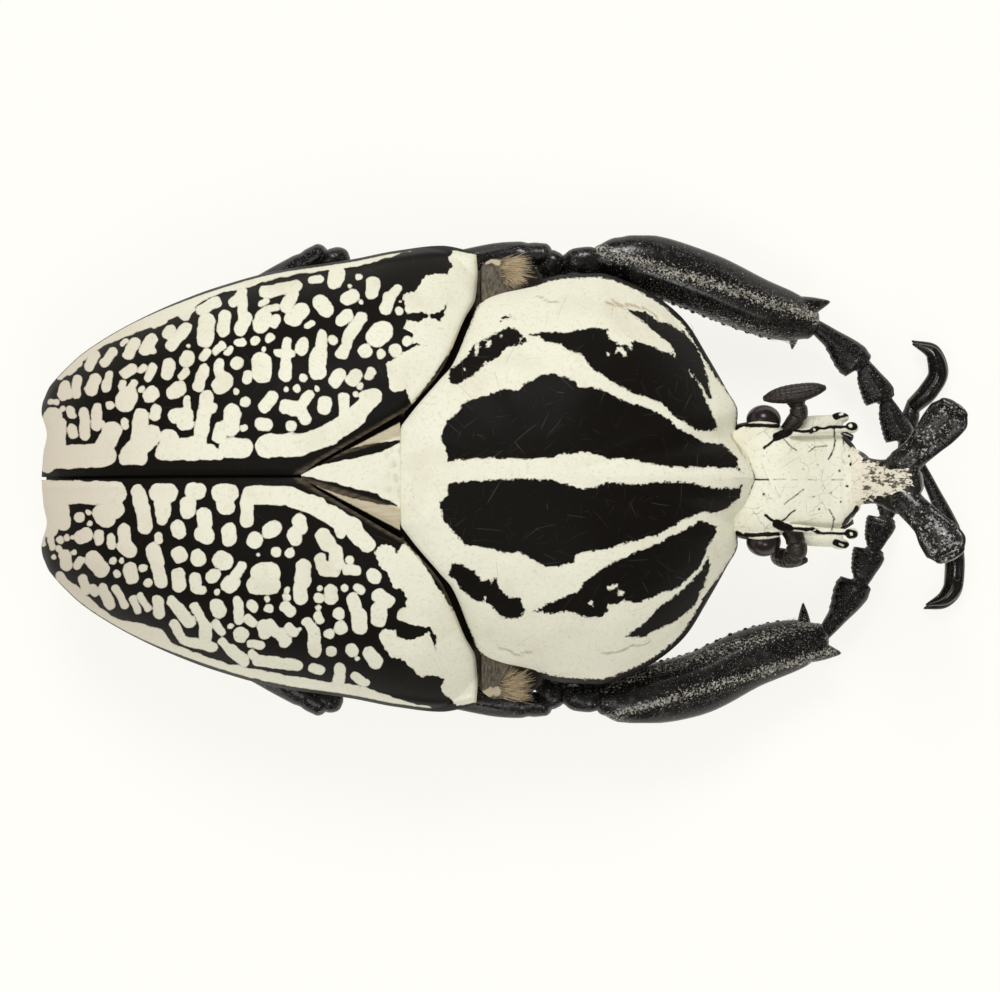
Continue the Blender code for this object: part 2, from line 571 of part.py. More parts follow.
def shin(name, core, stations, teeth, saw):
    """A lower leg with its teeth and, where it has one, a saw of small points on its inner edge."""
    pieces = [core.solid(name)]
    pieces += [spike("tooth", *tooth, 6) for tooth in teeth]
    bar = Bar(stations)
    low, high = DENTICLE_REACH
    for i in range(DENTICLES if saw else 0):
        share = DENTICLE_SPAN[0] + DENTICLE_SPAN[1] * i / (DENTICLES - 1)
        angle = 0.0 if saw > 0 else math.pi
        root, tip = bar.skin(share, angle, low), bar.skin(share, angle, high)
        pieces.append(spike("denticle", root, tip, DENTICLE_RADIUS, 4))
    return join(name, pieces)


def foot(name, joints, scale, inner):
    """The five joints of a foot, each wider at its far end and with a point on the inner side."""
    pieces = []
    for number, (near, far) in enumerate(FOOT_JOINTS):
        start, end = Vector(joints[number]), Vector(joints[number + 1])
        near, far = near * scale, far * scale
        stations = [(*start.lerp(end, -0.16), near, near * 0.9),
                    (*start.lerp(end, 0.35), far * 0.72, far * 0.65),
                    (*start.lerp(end, 0.8), far, far * 0.85),
                    (*end, far * 0.8, far * 0.7)]
        pieces.append(limb(name, stations, 7, 4))
        if number < 4:
            bar = Bar(stations)
            angle = 0.0 if inner > 0 else math.pi
            root = bar.skin(LOBE_SHARES[0], angle, -far / 2)
            pieces.append(spike("lobe", root, bar.skin(LOBE_SHARES[1], angle, LOBE_REACH), far / 2))
    return level_with_floor(join(name, pieces))


def claw(name, hook, scale):
    """A pair of curved hooks, one over the other, on a common root."""
    base = Vector(hook[0])
    inward, lift = UPPER_CLAW
    pieces = []
    for shrink, rise in ((1.0, 0.0), (inward, lift * scale)):
        stations = []
        for number, (point, radius) in enumerate(zip(hook, CLAW_RADII)):
            place = base + (Vector(point) - base) * shrink
            place.z += rise * min(number, 2) / 2
            stations.append((*place, radius * scale, radius * scale))
        pieces.append(limb(name, stations, 6, 7))
    return level_with_floor(join(name, pieces))


def leg(nodes, forms, pair, side):
    """One leg from hip to claws, each length cut clear of the one before."""
    sign = SIDES[side]
    name = f"leg_{pair}_{side}_"
    (x, y, z), radii = COXAE[pair]
    forms[name + "coxa"] = Form(ellipsoid, (x, y * sign, z), radii)
    start, knee, wide, deep = FEMORA[pair]
    shift = KNEE_SHIFT[side] if pair == "hind" else 0.0
    start, knee = Vector(start), Vector((knee[0] + shift, knee[1], knee[2]))
    thigh = [(*start.lerp(knee, share), wide * a, deep * b) for share, a, b in THIGH_SWELL]
    forms[name + "femur"] = Form(limb, mirrored(thigh, sign), 10, 7, 0.6)
    if pair == "front":
        pose, mirror = FRONT_LEGS[side], 1.0
    else:
        pose, mirror = (MID_LEG if pair == "mid" else HIND_LEG), sign
    stations = mirrored(pose["shin"], mirror)
    forms[name + "tibia"] = Form(limb, stations, 10, 8)
    joints = mirrored(pose["foot"], mirror)
    scale = CLAW_SCALE[pair]
    last_radius = FOOT_JOINTS[-1][1] * scale
    last = [(*joints[-2], last_radius * 0.5, last_radius * 0.45),
            (*joints[-1], last_radius * 0.8, last_radius * 0.7)]
    forms[name + "tarsus"] = Form(limb, last, 7, 4)
    for length in ("coxa", "femur"):
        nodes[name + length] = forms[name + length].solid(name + length)
    teeth = [(*mirrored([root, tip], mirror), radius) for root, tip, radius in pose["teeth"]]
    saw = sign if pair == "front" else 0.0
    nodes[name + "tibia"] = shin(name + "tibia", forms[name + "tibia"], stations, teeth, saw)
    inner = sign if pair == "front" else -sign
    nodes[name + "tarsus"] = foot(name + "tarsus", joints, scale, inner)
    nodes[name + "claws"] = claw(name + "claws", mirrored(pose["claw"], mirror), scale)
    lengths = ["coxa", "femur", "tibia", "tarsus", "claws"]
    for before, after in zip(lengths, lengths[1:]):
        make_room(nodes[name + after], [forms[name + before]])


def horn(nodes, forms):
    """The forked horn: the stem and the two flat arms."""
    forms["horn_stem"] = Form(limb, HORN_STEM, 14, 9, 0.1, 0.8)
    nodes["horn_stem"] = forms["horn_stem"].solid("horn_stem")
    for side, stations in HORN_ARMS.items():
        name = "horn_arm_" + side
        forms[name] = Form(limb, stations, 12, 8, 0.2, 0.75)
        nodes[name] = forms[name].solid(name)
        make_room(nodes[name], [forms["horn_stem"]])
    make_room(nodes["horn_arm_right"], [forms["horn_arm_left"]])


def antenna(nodes, forms, side):
    """One feeler: a bent stalk and its leaved club."""
    stalk, club = ANTENNAE[side]
    name = "antenna_" + side
    forms[name] = Form(limb, stalk, 8, 7)
    nodes[name] = join(name, [forms[name].solid(name), limb("club", club, 8, 6)])


def mouthparts(nodes, forms):
    """The chin plate under the head with its two palps."""
    forms["mouthparts"] = Form(limb, CHIN, 12, 6, 0.35, 0.8)
    palps = [limb("palp", mirrored(PALP, sign), 6, 5) for sign in SIDES.values()]
    nodes["mouthparts"] = join("mouthparts", [forms["mouthparts"].solid("mouthparts")] + palps)


def build():
    """Build the nodes, cut each clear of its neighbours and scale them to metres."""
    clear_scene()
    nodes = {"prothorax": prothorax(), "scutellum": scutellum()}
    forms = {}
    for side, sign in SIDES.items():
        nodes["elytron_" + side] = elytron(side)
        for pair in COXAE:
            leg(nodes, forms, pair, side)
        name = "eye_" + side
        forms[name] = Form(ellipsoid, mirrored([EYE_PLACE], sign, HEAD_MIDDLE)[0], EYE_SIZE)
        nodes[name] = forms[name].solid(name)
        antenna(nodes, forms, side)
    nodes["thorax"] = trunk("thorax", THORAX_RINGS, 24)
    nodes["abdomen"] = trunk("abdomen", ABDOMEN_RINGS, 24, grooves=STERNITE_EDGES)
    nodes["pygidium"] = trunk("pygidium", PYGIDIUM_RINGS, 20, round_rear=True)
    nodes["head"] = head()
    mouthparts(nodes, forms)
    horn(nodes, forms)

    def of_legs(pairs, lengths=("coxa", "femur")):
        return [forms[f"leg_{pair}_{side}_{length}"] for pair in pairs for side in SIDES for length in lengths]

    make_room(nodes["prothorax"], of_legs(("front", "mid")))
    make_room(nodes["thorax"], [nodes["prothorax"], nodes["scutellum"]] + of_legs(("front", "mid", "hind")))
    make_room(nodes["abdomen"], [nodes["scutellum"]] + of_legs(("hind",)))
    make_room(nodes["mouthparts"], of_legs(("front",), ("coxa",)))
    make_room(nodes["head"], [nodes["prothorax"]] + [forms[name] for name in (
        "eye_left", "eye_right", "antenna_left", "antenna_right", "mouthparts")])
    make_room(nodes["horn_stem"], [nodes["head"]])
    finish(nodes)


FINISHES = {
    "shell": ((0.83, 0.8, 0.68), 0.4),
    "chitin": ((0.012, 0.01, 0.008), 0.25),
    "eye": ((0.02, 0.013, 0.01), 0.12),
}


def finish_name(node):
    """The finish of a node."""
    if node.startswith("eye"):
        return "eye"
    if node.startswith(("elytron", "prothorax", "scutellum", "head", "pygidium", "horn_stem")):
        return "shell"
    return "chitin"


def finish(nodes):
    """Scale the meshes to metres, shade them smooth and give each its material."""
    for name, item in nodes.items():
        item.name = name
        item.data.transform(Matrix.Scale(METRES, 4))
        item.data.shade_smooth()
        item.data.set_sharp_from_angle(angle=SMOOTH_UNDER)
        colour, roughness = FINISHES[finish_name(name)]
        item.data.materials.clear()
        item.data.materials.append(coating(name, colour, roughness))


build()
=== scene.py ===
"""Looks of a goliath beetle: a dried male specimen seen from above, at life size.

The head points along +X, the beetle's left side along +Y and its back along +Z. Lengths are in
millimetres while the pieces are shaped, and every finished mesh is scaled to metres. Markings are
drawn in plan, as they show from straight above the middle of the back.
"""
import sys

import logging
import math
from collections.abc import Callable, Sequence
from dataclasses import dataclass, field
from enum import Enum

import bmesh
import bpy
import numpy as np
from mathutils import Matrix, Vector


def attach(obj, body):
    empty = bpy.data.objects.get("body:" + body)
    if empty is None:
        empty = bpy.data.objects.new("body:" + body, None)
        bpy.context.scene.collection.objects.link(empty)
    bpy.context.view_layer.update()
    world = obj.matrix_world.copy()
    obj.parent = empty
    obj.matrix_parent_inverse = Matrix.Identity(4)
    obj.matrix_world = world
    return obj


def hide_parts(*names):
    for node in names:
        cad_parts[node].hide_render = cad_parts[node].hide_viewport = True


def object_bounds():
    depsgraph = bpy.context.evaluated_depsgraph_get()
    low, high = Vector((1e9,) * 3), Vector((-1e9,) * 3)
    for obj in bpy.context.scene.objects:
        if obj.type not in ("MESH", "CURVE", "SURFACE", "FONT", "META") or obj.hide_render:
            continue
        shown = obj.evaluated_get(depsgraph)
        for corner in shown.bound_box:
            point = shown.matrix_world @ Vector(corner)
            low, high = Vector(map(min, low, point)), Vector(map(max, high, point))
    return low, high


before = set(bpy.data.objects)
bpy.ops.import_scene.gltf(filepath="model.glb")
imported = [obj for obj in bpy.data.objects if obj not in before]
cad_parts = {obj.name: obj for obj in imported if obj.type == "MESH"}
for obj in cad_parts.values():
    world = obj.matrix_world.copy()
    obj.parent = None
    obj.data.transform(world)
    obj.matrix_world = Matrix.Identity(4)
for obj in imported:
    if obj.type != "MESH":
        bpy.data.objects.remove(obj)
CAD_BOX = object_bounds()

LOG = logging.getLogger("beetle")
METRES = 0.001
BODY = "root"
SHARP_OVER = math.radians(42.0)
BOX_MARGIN = (0.01, 0.01, 0.0)

Station = tuple[float, ...]
Array = np.ndarray
Socket = bpy.types.NodeSocket
Place = Callable[[Array, Array], Array]
Relief = Callable[[Array, Array], Array]
Read = Callable[[Array], Array]

# Camera: straight above the back, one metre from a point level with the wing cases.
CAMERA_TARGET = (-0.5, -1.8, 18.0)
CAMERA_RANGE = 1000.0
CAMERA_ELEVATION = math.radians(89.0)
CAMERA_LENS = 360.0

# Wing cases: half width of the pair, height of the margin and height of the back, along X.
ELYTRA_WIDTH = [
    (-46.6, 7.6), (-45.6, 9.7), (-44.7, 10.6), (-42.7, 12.5), (-39.9, 14.4), (-36.8, 16.1), (-33.3, 17.7),
    (-29.3, 19.2), (-23.1, 20.9), (-15.2, 22.1), (-11.0, 22.9), (-6.4, 23.4), (-2.6, 22.8), (4.4, 22.6),
]
ELYTRA_MARGIN = [(-46.6, 12.2), (-40.0, 11.8), (-20.0, 13.0), (-2.6, 14.8), (4.4, 14.8)]
ELYTRA_BACK = [
    (-46.6, 15.0), (-44.5, 18.2), (-40.0, 21.9), (-34.0, 24.9), (-26.0, 27.0), (-18.0, 27.8), (-8.0, 27.4),
    (-2.6, 26.6), (4.4, 25.6),
]
ELYTRON_FRONT = [(-9.8, 6.5), (-6.3, 10.6), (-4.0, 15.9), (-2.95, 18.0), (-2.75, 20.6), (-2.9, 22.7)]
ELYTRON_APEX = [(-46.5, 0.16), (-46.3, 2.6), (-45.95, 4.4), (-46.6, 6.9), (-46.3, 8.7)]
ELYTRON_THICK = 1.0
EDGE_GAINS = {"inner": 0.45, "outer": 0.7, "front": 1.0, "apex": 1.0}
UNDER_SHELL = 1.95
SHOULDER_DROP = 3.2
SHELL_END = -2.4
SCUTELLUM_BASE = (-10.95, 5.4)
SCUTELLUM_EDGE = (-18.4, 1.45)
SCUTELLUM_TIP = (-20.6, 0.16)
SCUTELLUM_THICK = 2.2
SCUTELLUM_FRONT = -10.42

# Prothorax: half outline from above, and the height of its rim along X.
PROTHORAX_OUTLINE = [
    (25.0, 0.0), (24.3, 2.6), (23.2, 4.6), (23.3, 6.6), (22.2, 8.9), (20.3, 12.3), (18.1, 15.8),
    (15.2, 18.3), (12.3, 19.8), (9.4, 20.65), (6.0, 20.5), (2.6, 19.7), (-0.6, 18.8), (-2.6, 17.4),
    (-3.4, 15.6), (-5.3, 11.0), (-6.5, 9.6), (-9.6, 5.9), (-10.4, 4.6), (-10.6, 0.0),
]
PROTHORAX_RIM = [
    (-10.6, 26.7), (-9.6, 26.3), (-6.5, 25.5), (-5.3, 24.7), (-3.4, 21.0), (-2.6, 19.2), (-0.6, 16.8),
    (2.6, 15.2), (9.4, 14.0), (15.2, 14.2), (20.3, 15.2), (23.2, 17.0), (25.0, 19.6),
]
PROTHORAX_CROWN = (3.5, 28.7)
PROTHORAX_KEEL = 8.6

# Hind body.
THORAX_SPAN = (-16.2, 4.4)
ABDOMEN_SPAN = (-42.6, -16.5)
PYGIDIUM_SPAN = (-46.1, -42.9)
TRUNK_KEEL = [(-46.6, 9.6), (-44.0, 8.4), (-40.0, 7.4), (-28.0, 6.6), (-16.0, 5.4), (-6.0, 4.9), (4.4, 6.4)]
SHOULDER_WIDTH = [(-46.6, 0.0), (-2.45, 0.0), (-2.3, 0.5), (-1.0, 1.3), (1.8, 1.2), (2.9, 0.6), (4.4, -1.6)]
STERNITE_EDGES = (-21.5, -26.5, -31.0, -35.2, -39.2)
STERNITE_STEP = 0.45

# Pale spots on the flanks behind the shield, in plan.
FLANK_SPOTS = ((-1.9, 22.0, -1.6, 21.7, 0.3), (-1.0, 21.9, -0.8, 21.6, 0.42), (-1.9, -21.6, -1.4, -21.2, 0.4),
               (-0.8, -21.5, -0.7, -21.2, 0.35))

# Head: its middle line, and (x, half width, top, underside).
HEAD_MIDDLE = -0.25
HEAD_SECTIONS = [
    (19.5, 4.6, 16.4, 12.4), (22.5, 5.5, 18.4, 11.8), (25.0, 5.95, 19.5, 11.3), (27.2, 5.6, 19.7, 11.2),
    (29.0, 5.0, 19.3, 11.5), (32.0, 4.85, 18.4, 12.4), (34.0, 4.5, 17.85, 13.2), (34.9, 3.5, 17.7, 13.8),
]
HEAD_FRONT = [
    (32.6, -0.2, 15.7, 4.5, 2.3), (33.8, -0.2, 15.9, 4.2, 1.8), (34.6, -0.2, 16.1, 3.6, 1.5),
    (35.3, -0.15, 16.3, 2.95, 1.35),
]
EYE_PLACE = (25.9, 6.1, 16.6)
EYE_SIZE = (1.75, 1.5, 1.9)
CHIN = [(26.2, 0.0, 10.1, 2.2, 1.3), (29.0, 0.0, 10.2, 3.2, 1.5), (32.0, 0.0, 11.2, 3.0, 1.5),
        (33.8, 0.0, 12.3, 1.9, 1.0)]
PALP = [(30.0, 2.4, 9.7, 0.5, 0.5), (31.6, 3.9, 9.2, 0.5, 0.45), (33.8, 4.5, 9.4, 0.6, 0.5),
        (35.0, 4.2, 9.8, 0.35, 0.35)]
ANTENNA_STALKS = {
    "left": [(28.1, 4.6, 16.9, 0.6, 0.7), (28.8, 5.5, 17.2, 0.7, 0.7), (29.4, 6.5, 17.5, 0.8, 0.7),
             (29.2, 7.5, 17.7, 0.75, 0.65), (28.5, 8.0, 17.9, 0.55, 0.5)],
    "right": [(28.35, -4.9, 16.9, 0.8, 0.75), (29.0, -6.0, 17.1, 0.85, 0.8), (29.2, -7.1, 17.0, 0.95, 0.8),
              (28.9, -7.9, 16.6, 0.85, 0.7), (28.2, -8.0, 16.3, 0.6, 0.55)],
}
ANTENNA_CLUBS = {
    "left": [(26.0, 7.95, 18.2, 0.45, 0.6), (27.2, 8.2, 18.3, 0.85, 0.85), (29.4, 8.5, 18.4, 1.0, 0.85),
             (31.0, 8.85, 18.45, 0.8, 0.7), (31.9, 9.0, 18.5, 0.45, 0.5)],
    "right": [(30.1, -8.2, 16.5, 0.6, 0.7), (28.8, -8.1, 15.6, 1.0, 0.85), (27.4, -7.8, 13.9, 0.95, 0.85),
              (26.9, -7.3, 12.2, 0.5, 0.5)],
}
HORN_STEM = [
    (34.7, -0.15, 16.05, 3.4, 1.45), (35.25, -0.15, 16.25, 3.0, 1.45), (36.1, -0.25, 16.65, 2.35, 1.35),
    (37.2, -0.35, 17.25, 2.2, 1.3), (38.3, -0.5, 17.9, 2.45, 1.3), (39.5, -0.6, 18.6, 3.05, 1.35),
    (40.6, -0.45, 19.1, 2.4, 1.2), (41.6, -0.35, 19.4, 0.9, 0.8),
]
HORN_ARMS = {
    "left": [(39.2, 1.1, 18.5, 1.3, 1.2), (39.7, 1.4, 18.8, 1.5, 1.3), (40.9, 2.4, 19.3, 1.45, 1.2),
             (42.1, 3.65, 20.0, 1.65, 1.1), (43.3, 5.0, 20.7, 2.0, 1.0), (44.2, 6.1, 21.3, 2.1, 0.85),
             (44.75, 6.95, 21.6, 1.55, 0.65)],
    "right": [(39.2, -1.6, 18.5, 1.3, 1.2), (39.7, -1.9, 18.8, 1.5, 1.3), (40.8, -3.05, 19.3, 1.45, 1.2),
              (42.1, -4.4, 20.0, 1.55, 1.1), (43.1, -5.75, 20.7, 2.0, 1.0), (43.9, -6.85, 21.3, 2.15, 0.85),
              (44.35, -7.75, 21.6, 1.55, 0.65)],
}

# Legs: hips, thighs, and a pose for each lower leg and foot.
COXAE = {
    "front": ((16.0, 6.2, 7.2), (2.5, 3.7, 3.0)),
    "mid": ((-3.6, 5.8, 5.6), (2.4, 3.3, 2.4)),
    "hind": ((-12.4, 6.6, 5.9), (2.4, 4.8, 2.2)),
}
FEMORA = {
    "front": ((15.2, 9.0, 7.6), (7.9, 21.9, 10.2), 2.5, 1.9),
    "mid": ((-3.2, 9.2, 5.6), (5.0, 22.0, 9.7), 2.3, 1.7),
    "hind": ((-13.4, 11.4, 5.8), (-17.3, 22.3, 8.9), 2.6, 1.8),
}
KNEE_SHIFT = {"left": 0.0, "right": -0.7}
FRONT_LEGS = {
    "left": {
        "shin": [(9.6, 22.2, 10.4, 1.45, 1.2), (11.3, 22.3, 10.2, 2.2, 1.7), (14.2, 21.8, 9.6, 2.9, 2.1),
                 (19.8, 20.0, 8.3, 3.0, 2.3), (25.9, 17.45, 6.7, 2.7, 2.1), (29.2, 16.4, 5.8, 2.35, 1.75),
                 (30.9, 15.85, 5.4, 1.6, 1.2)],
        "teeth": [((29.0, 17.2, 5.7), (32.9, 18.1, 5.2), 1.4), ((29.3, 15.1, 5.3), (29.1, 13.3, 4.8), 0.65)],
        "foot": [(31.0, 15.95, 5.1), (36.4, 11.9, 4.3), (38.65, 8.3, 4.0), (40.65, 4.3, 3.8),
                 (41.95, 2.1, 3.4), (45.85, -5.9, 1.7)],
        "claw": [(45.6, -5.6, 1.6), (45.75, -8.4, 0.65), (45.6, -10.7, 0.5), (44.6, -12.2, 0.45),
                 (42.6, -12.95, 0.4)],
    },
    "right": {
        "shin": [(9.9, -22.3, 10.4, 1.45, 1.2), (11.4, -22.3, 10.2, 2.2, 1.7), (14.0, -21.8, 9.7, 2.9, 2.1),
                 (19.0, -20.7, 8.4, 3.05, 2.3), (25.1, -17.9, 6.8, 2.85, 2.1), (29.7, -16.5, 5.8, 2.4, 1.75),
                 (31.9, -15.9, 5.4, 1.5, 1.2)],
        "teeth": [((30.1, -17.1, 5.7), (34.0, -17.5, 5.2), 1.4),
                  ((30.3, -15.0, 5.3), (30.2, -12.4, 4.8), 0.75)],
        "foot": [(32.1, -15.8, 5.0), (36.2, -10.5, 3.9), (37.5, -7.1, 3.2), (38.8, -3.9, 2.5),
                 (39.85, -0.9, 1.5), (41.5, 7.8, 0.65)],
        "claw": [(41.5, 7.6, 0.65), (43.2, 9.3, 0.6), (44.15, 11.2, 0.5), (43.6, 13.2, 0.45),
                 (41.4, 14.3, 0.4)],
    },
}
MID_LEG = {
    "shin": [(4.0, 22.7, 9.6, 1.15, 1.15), (1.6, 22.6, 9.0, 1.45, 1.35), (-5.5, 21.3, 7.2, 1.6, 1.45),
             (-13.0, 18.9, 4.6, 1.95, 1.5)],
    "teeth": [((-4.4, 21.6, 7.3), (-6.6, 22.7, 6.6), 0.7), ((-12.2, 20.2, 4.6), (-14.6, 21.4, 3.9), 0.7),
              ((-12.4, 17.6, 4.3), (-15.2, 17.0, 3.0), 0.5)],
    "foot": [(-12.9, 18.9, 4.3), (-17.5, 17.6, 2.5), (-20.2, 16.7, 1.6), (-22.8, 15.8, 1.0),
             (-25.2, 14.9, 0.65), (-30.0, 13.2, 0.5)],
    "claw": [(-29.8, 13.3, 0.5), (-32.0, 13.3, 0.45), (-33.4, 12.4, 0.4), (-33.8, 11.0, 0.35),
             (-33.2, 9.8, 0.3)],
}
HIND_LEG = {
    "shin": [(-18.6, 22.7, 8.9, 1.2, 1.2), (-20.4, 21.6, 8.4, 1.4, 1.35), (-24.0, 19.4, 7.3, 1.5, 1.4),
             (-29.5, 16.2, 5.5, 1.7, 1.5), (-34.6, 13.2, 3.9, 2.05, 1.5)],
    "teeth": [((-26.0, 18.3, 6.6), (-28.0, 18.9, 5.8), 0.7), ((-33.9, 14.6, 3.9), (-36.4, 15.4, 3.2), 0.7),
              ((-34.0, 12.0, 3.6), (-36.0, 10.2, 2.6), 0.5)],
    "foot": [(-34.4, 13.4, 3.7), (-38.2, 10.9, 2.2), (-40.3, 9.2, 1.4), (-42.0, 7.4, 0.9), (-43.2, 5.6, 0.6),
             (-43.2, 3.2, 0.5)],
    "claw": [(-43.2, 3.4, 0.5), (-42.4, 1.9, 0.45), (-41.1, 1.2, 0.4), (-39.9, 1.2, 0.35), (-38.9, 1.6, 0.3)],
}
FRONT_KNEE = [(6.5, 21.7, 10.1, 1.15, 1.1), (7.3, 21.95, 10.4, 1.4, 1.2), (8.4, 22.05, 10.5, 1.42, 1.15),
              (9.4, 22.1, 10.4, 1.2, 1.0)]
KNEE_BACK = ((6.0, 20.9, 9.2), (1.9, 1.4, 1.0))
# Painted highlights along the front shins, as bands of pale specks: how far out from the middle line, reach
# and density of each band.
SHIN_HIGHLIGHTS = {"left": ((0.8, 0.75, 1.15), (-2.4, 0.7, 0.85)), "right": ((1.7, 0.6, 1.1), (-1.6, 0.8, 0.9))}
THIGH_SWELL = [(0.0, 0.62, 0.7), (0.18, 0.92, 0.95), (0.45, 1.0, 1.0), (0.75, 0.8, 0.85), (0.92, 0.56, 0.66),
               (1.0, 0.62, 0.66)]
FOOT_JOINTS = [(0.62, 1.38), (0.56, 1.24), (0.52, 1.12), (0.48, 1.0), (0.44, 0.88)]
FOOT_LOBE = 0.85
CLAW_RADII = (0.85, 1.02, 1.0, 0.76, 0.08)
CLAW_SCALE = {"front": 1.0, "mid": 0.8, "hind": 0.72}
UPPER_CLAW = (0.95, 1.2)

# Hair as the left side has it, then hair below the body. Each row names the piece, two corners of the
# field its rays start from, their direction, the way the hair lies, its count, length and lift.
DOWN, UP, INWARD = (0.0, 0.0, -1.0), (0.0, 0.0, 1.0), (0.0, -1.0, 0.0)
BACK, BACK_AND_DOWN = (-1.0, 0.0, 0.0), (-1.0, 0.0, -0.3)
SIDE_HAIR = (
    ("thorax", (-0.6, 21.0, 40.0), (0.9, 22.4, 40.0), DOWN, (0.9, 0.35, 0.1), 110, (1.0, 2.0), 0.35),
    ("thorax", (-0.6, 20.2, 40.0), (1.1, 21.6, 40.0), DOWN, (0.85, -0.35, 0.1), 150, (1.0, 2.0), 0.35),
    ("thorax", (-0.4, 19.6, 40.0), (1.3, 20.8, 40.0), DOWN, (0.6, -0.75, 0.1), 110, (0.8, 1.5), 0.35),
    ("thorax", (-15.5, 40.0, 6.0), (3.5, 40.0, 12.5), INWARD, BACK_AND_DOWN, 900, (0.7, 1.5), 0.25),
    ("abdomen", (-42.0, 40.0, 8.0), (-17.0, 40.0, 12.0), INWARD, BACK_AND_DOWN, 500, (0.4, 0.9), 0.25),
)
BELLY_HAIR = (
    ("prothorax", (7.0, -16.0, -5.0), (22.0, 16.0, -5.0), UP, BACK, 1100, (0.7, 1.6), 0.35),
    ("thorax", (-15.0, -14.0, -5.0), (3.0, 14.0, -5.0), UP, BACK, 500, (0.4, 0.9), 0.2),
)
HAIR_TILES = {"thorax": (0.0, 0.0, 0.48), "abdomen": (0.5, 0.0, 0.48), "prothorax": (0.0, 0.5, 0.48)}
# Fringes of the shins: count and length.
FRINGES = {"front": (260, (0.4, 0.8)), "mid": (480, (0.8, 1.6)), "hind": (480, (0.8, 1.6))}
BODY_SEED, LEG_SEED = 11, 23

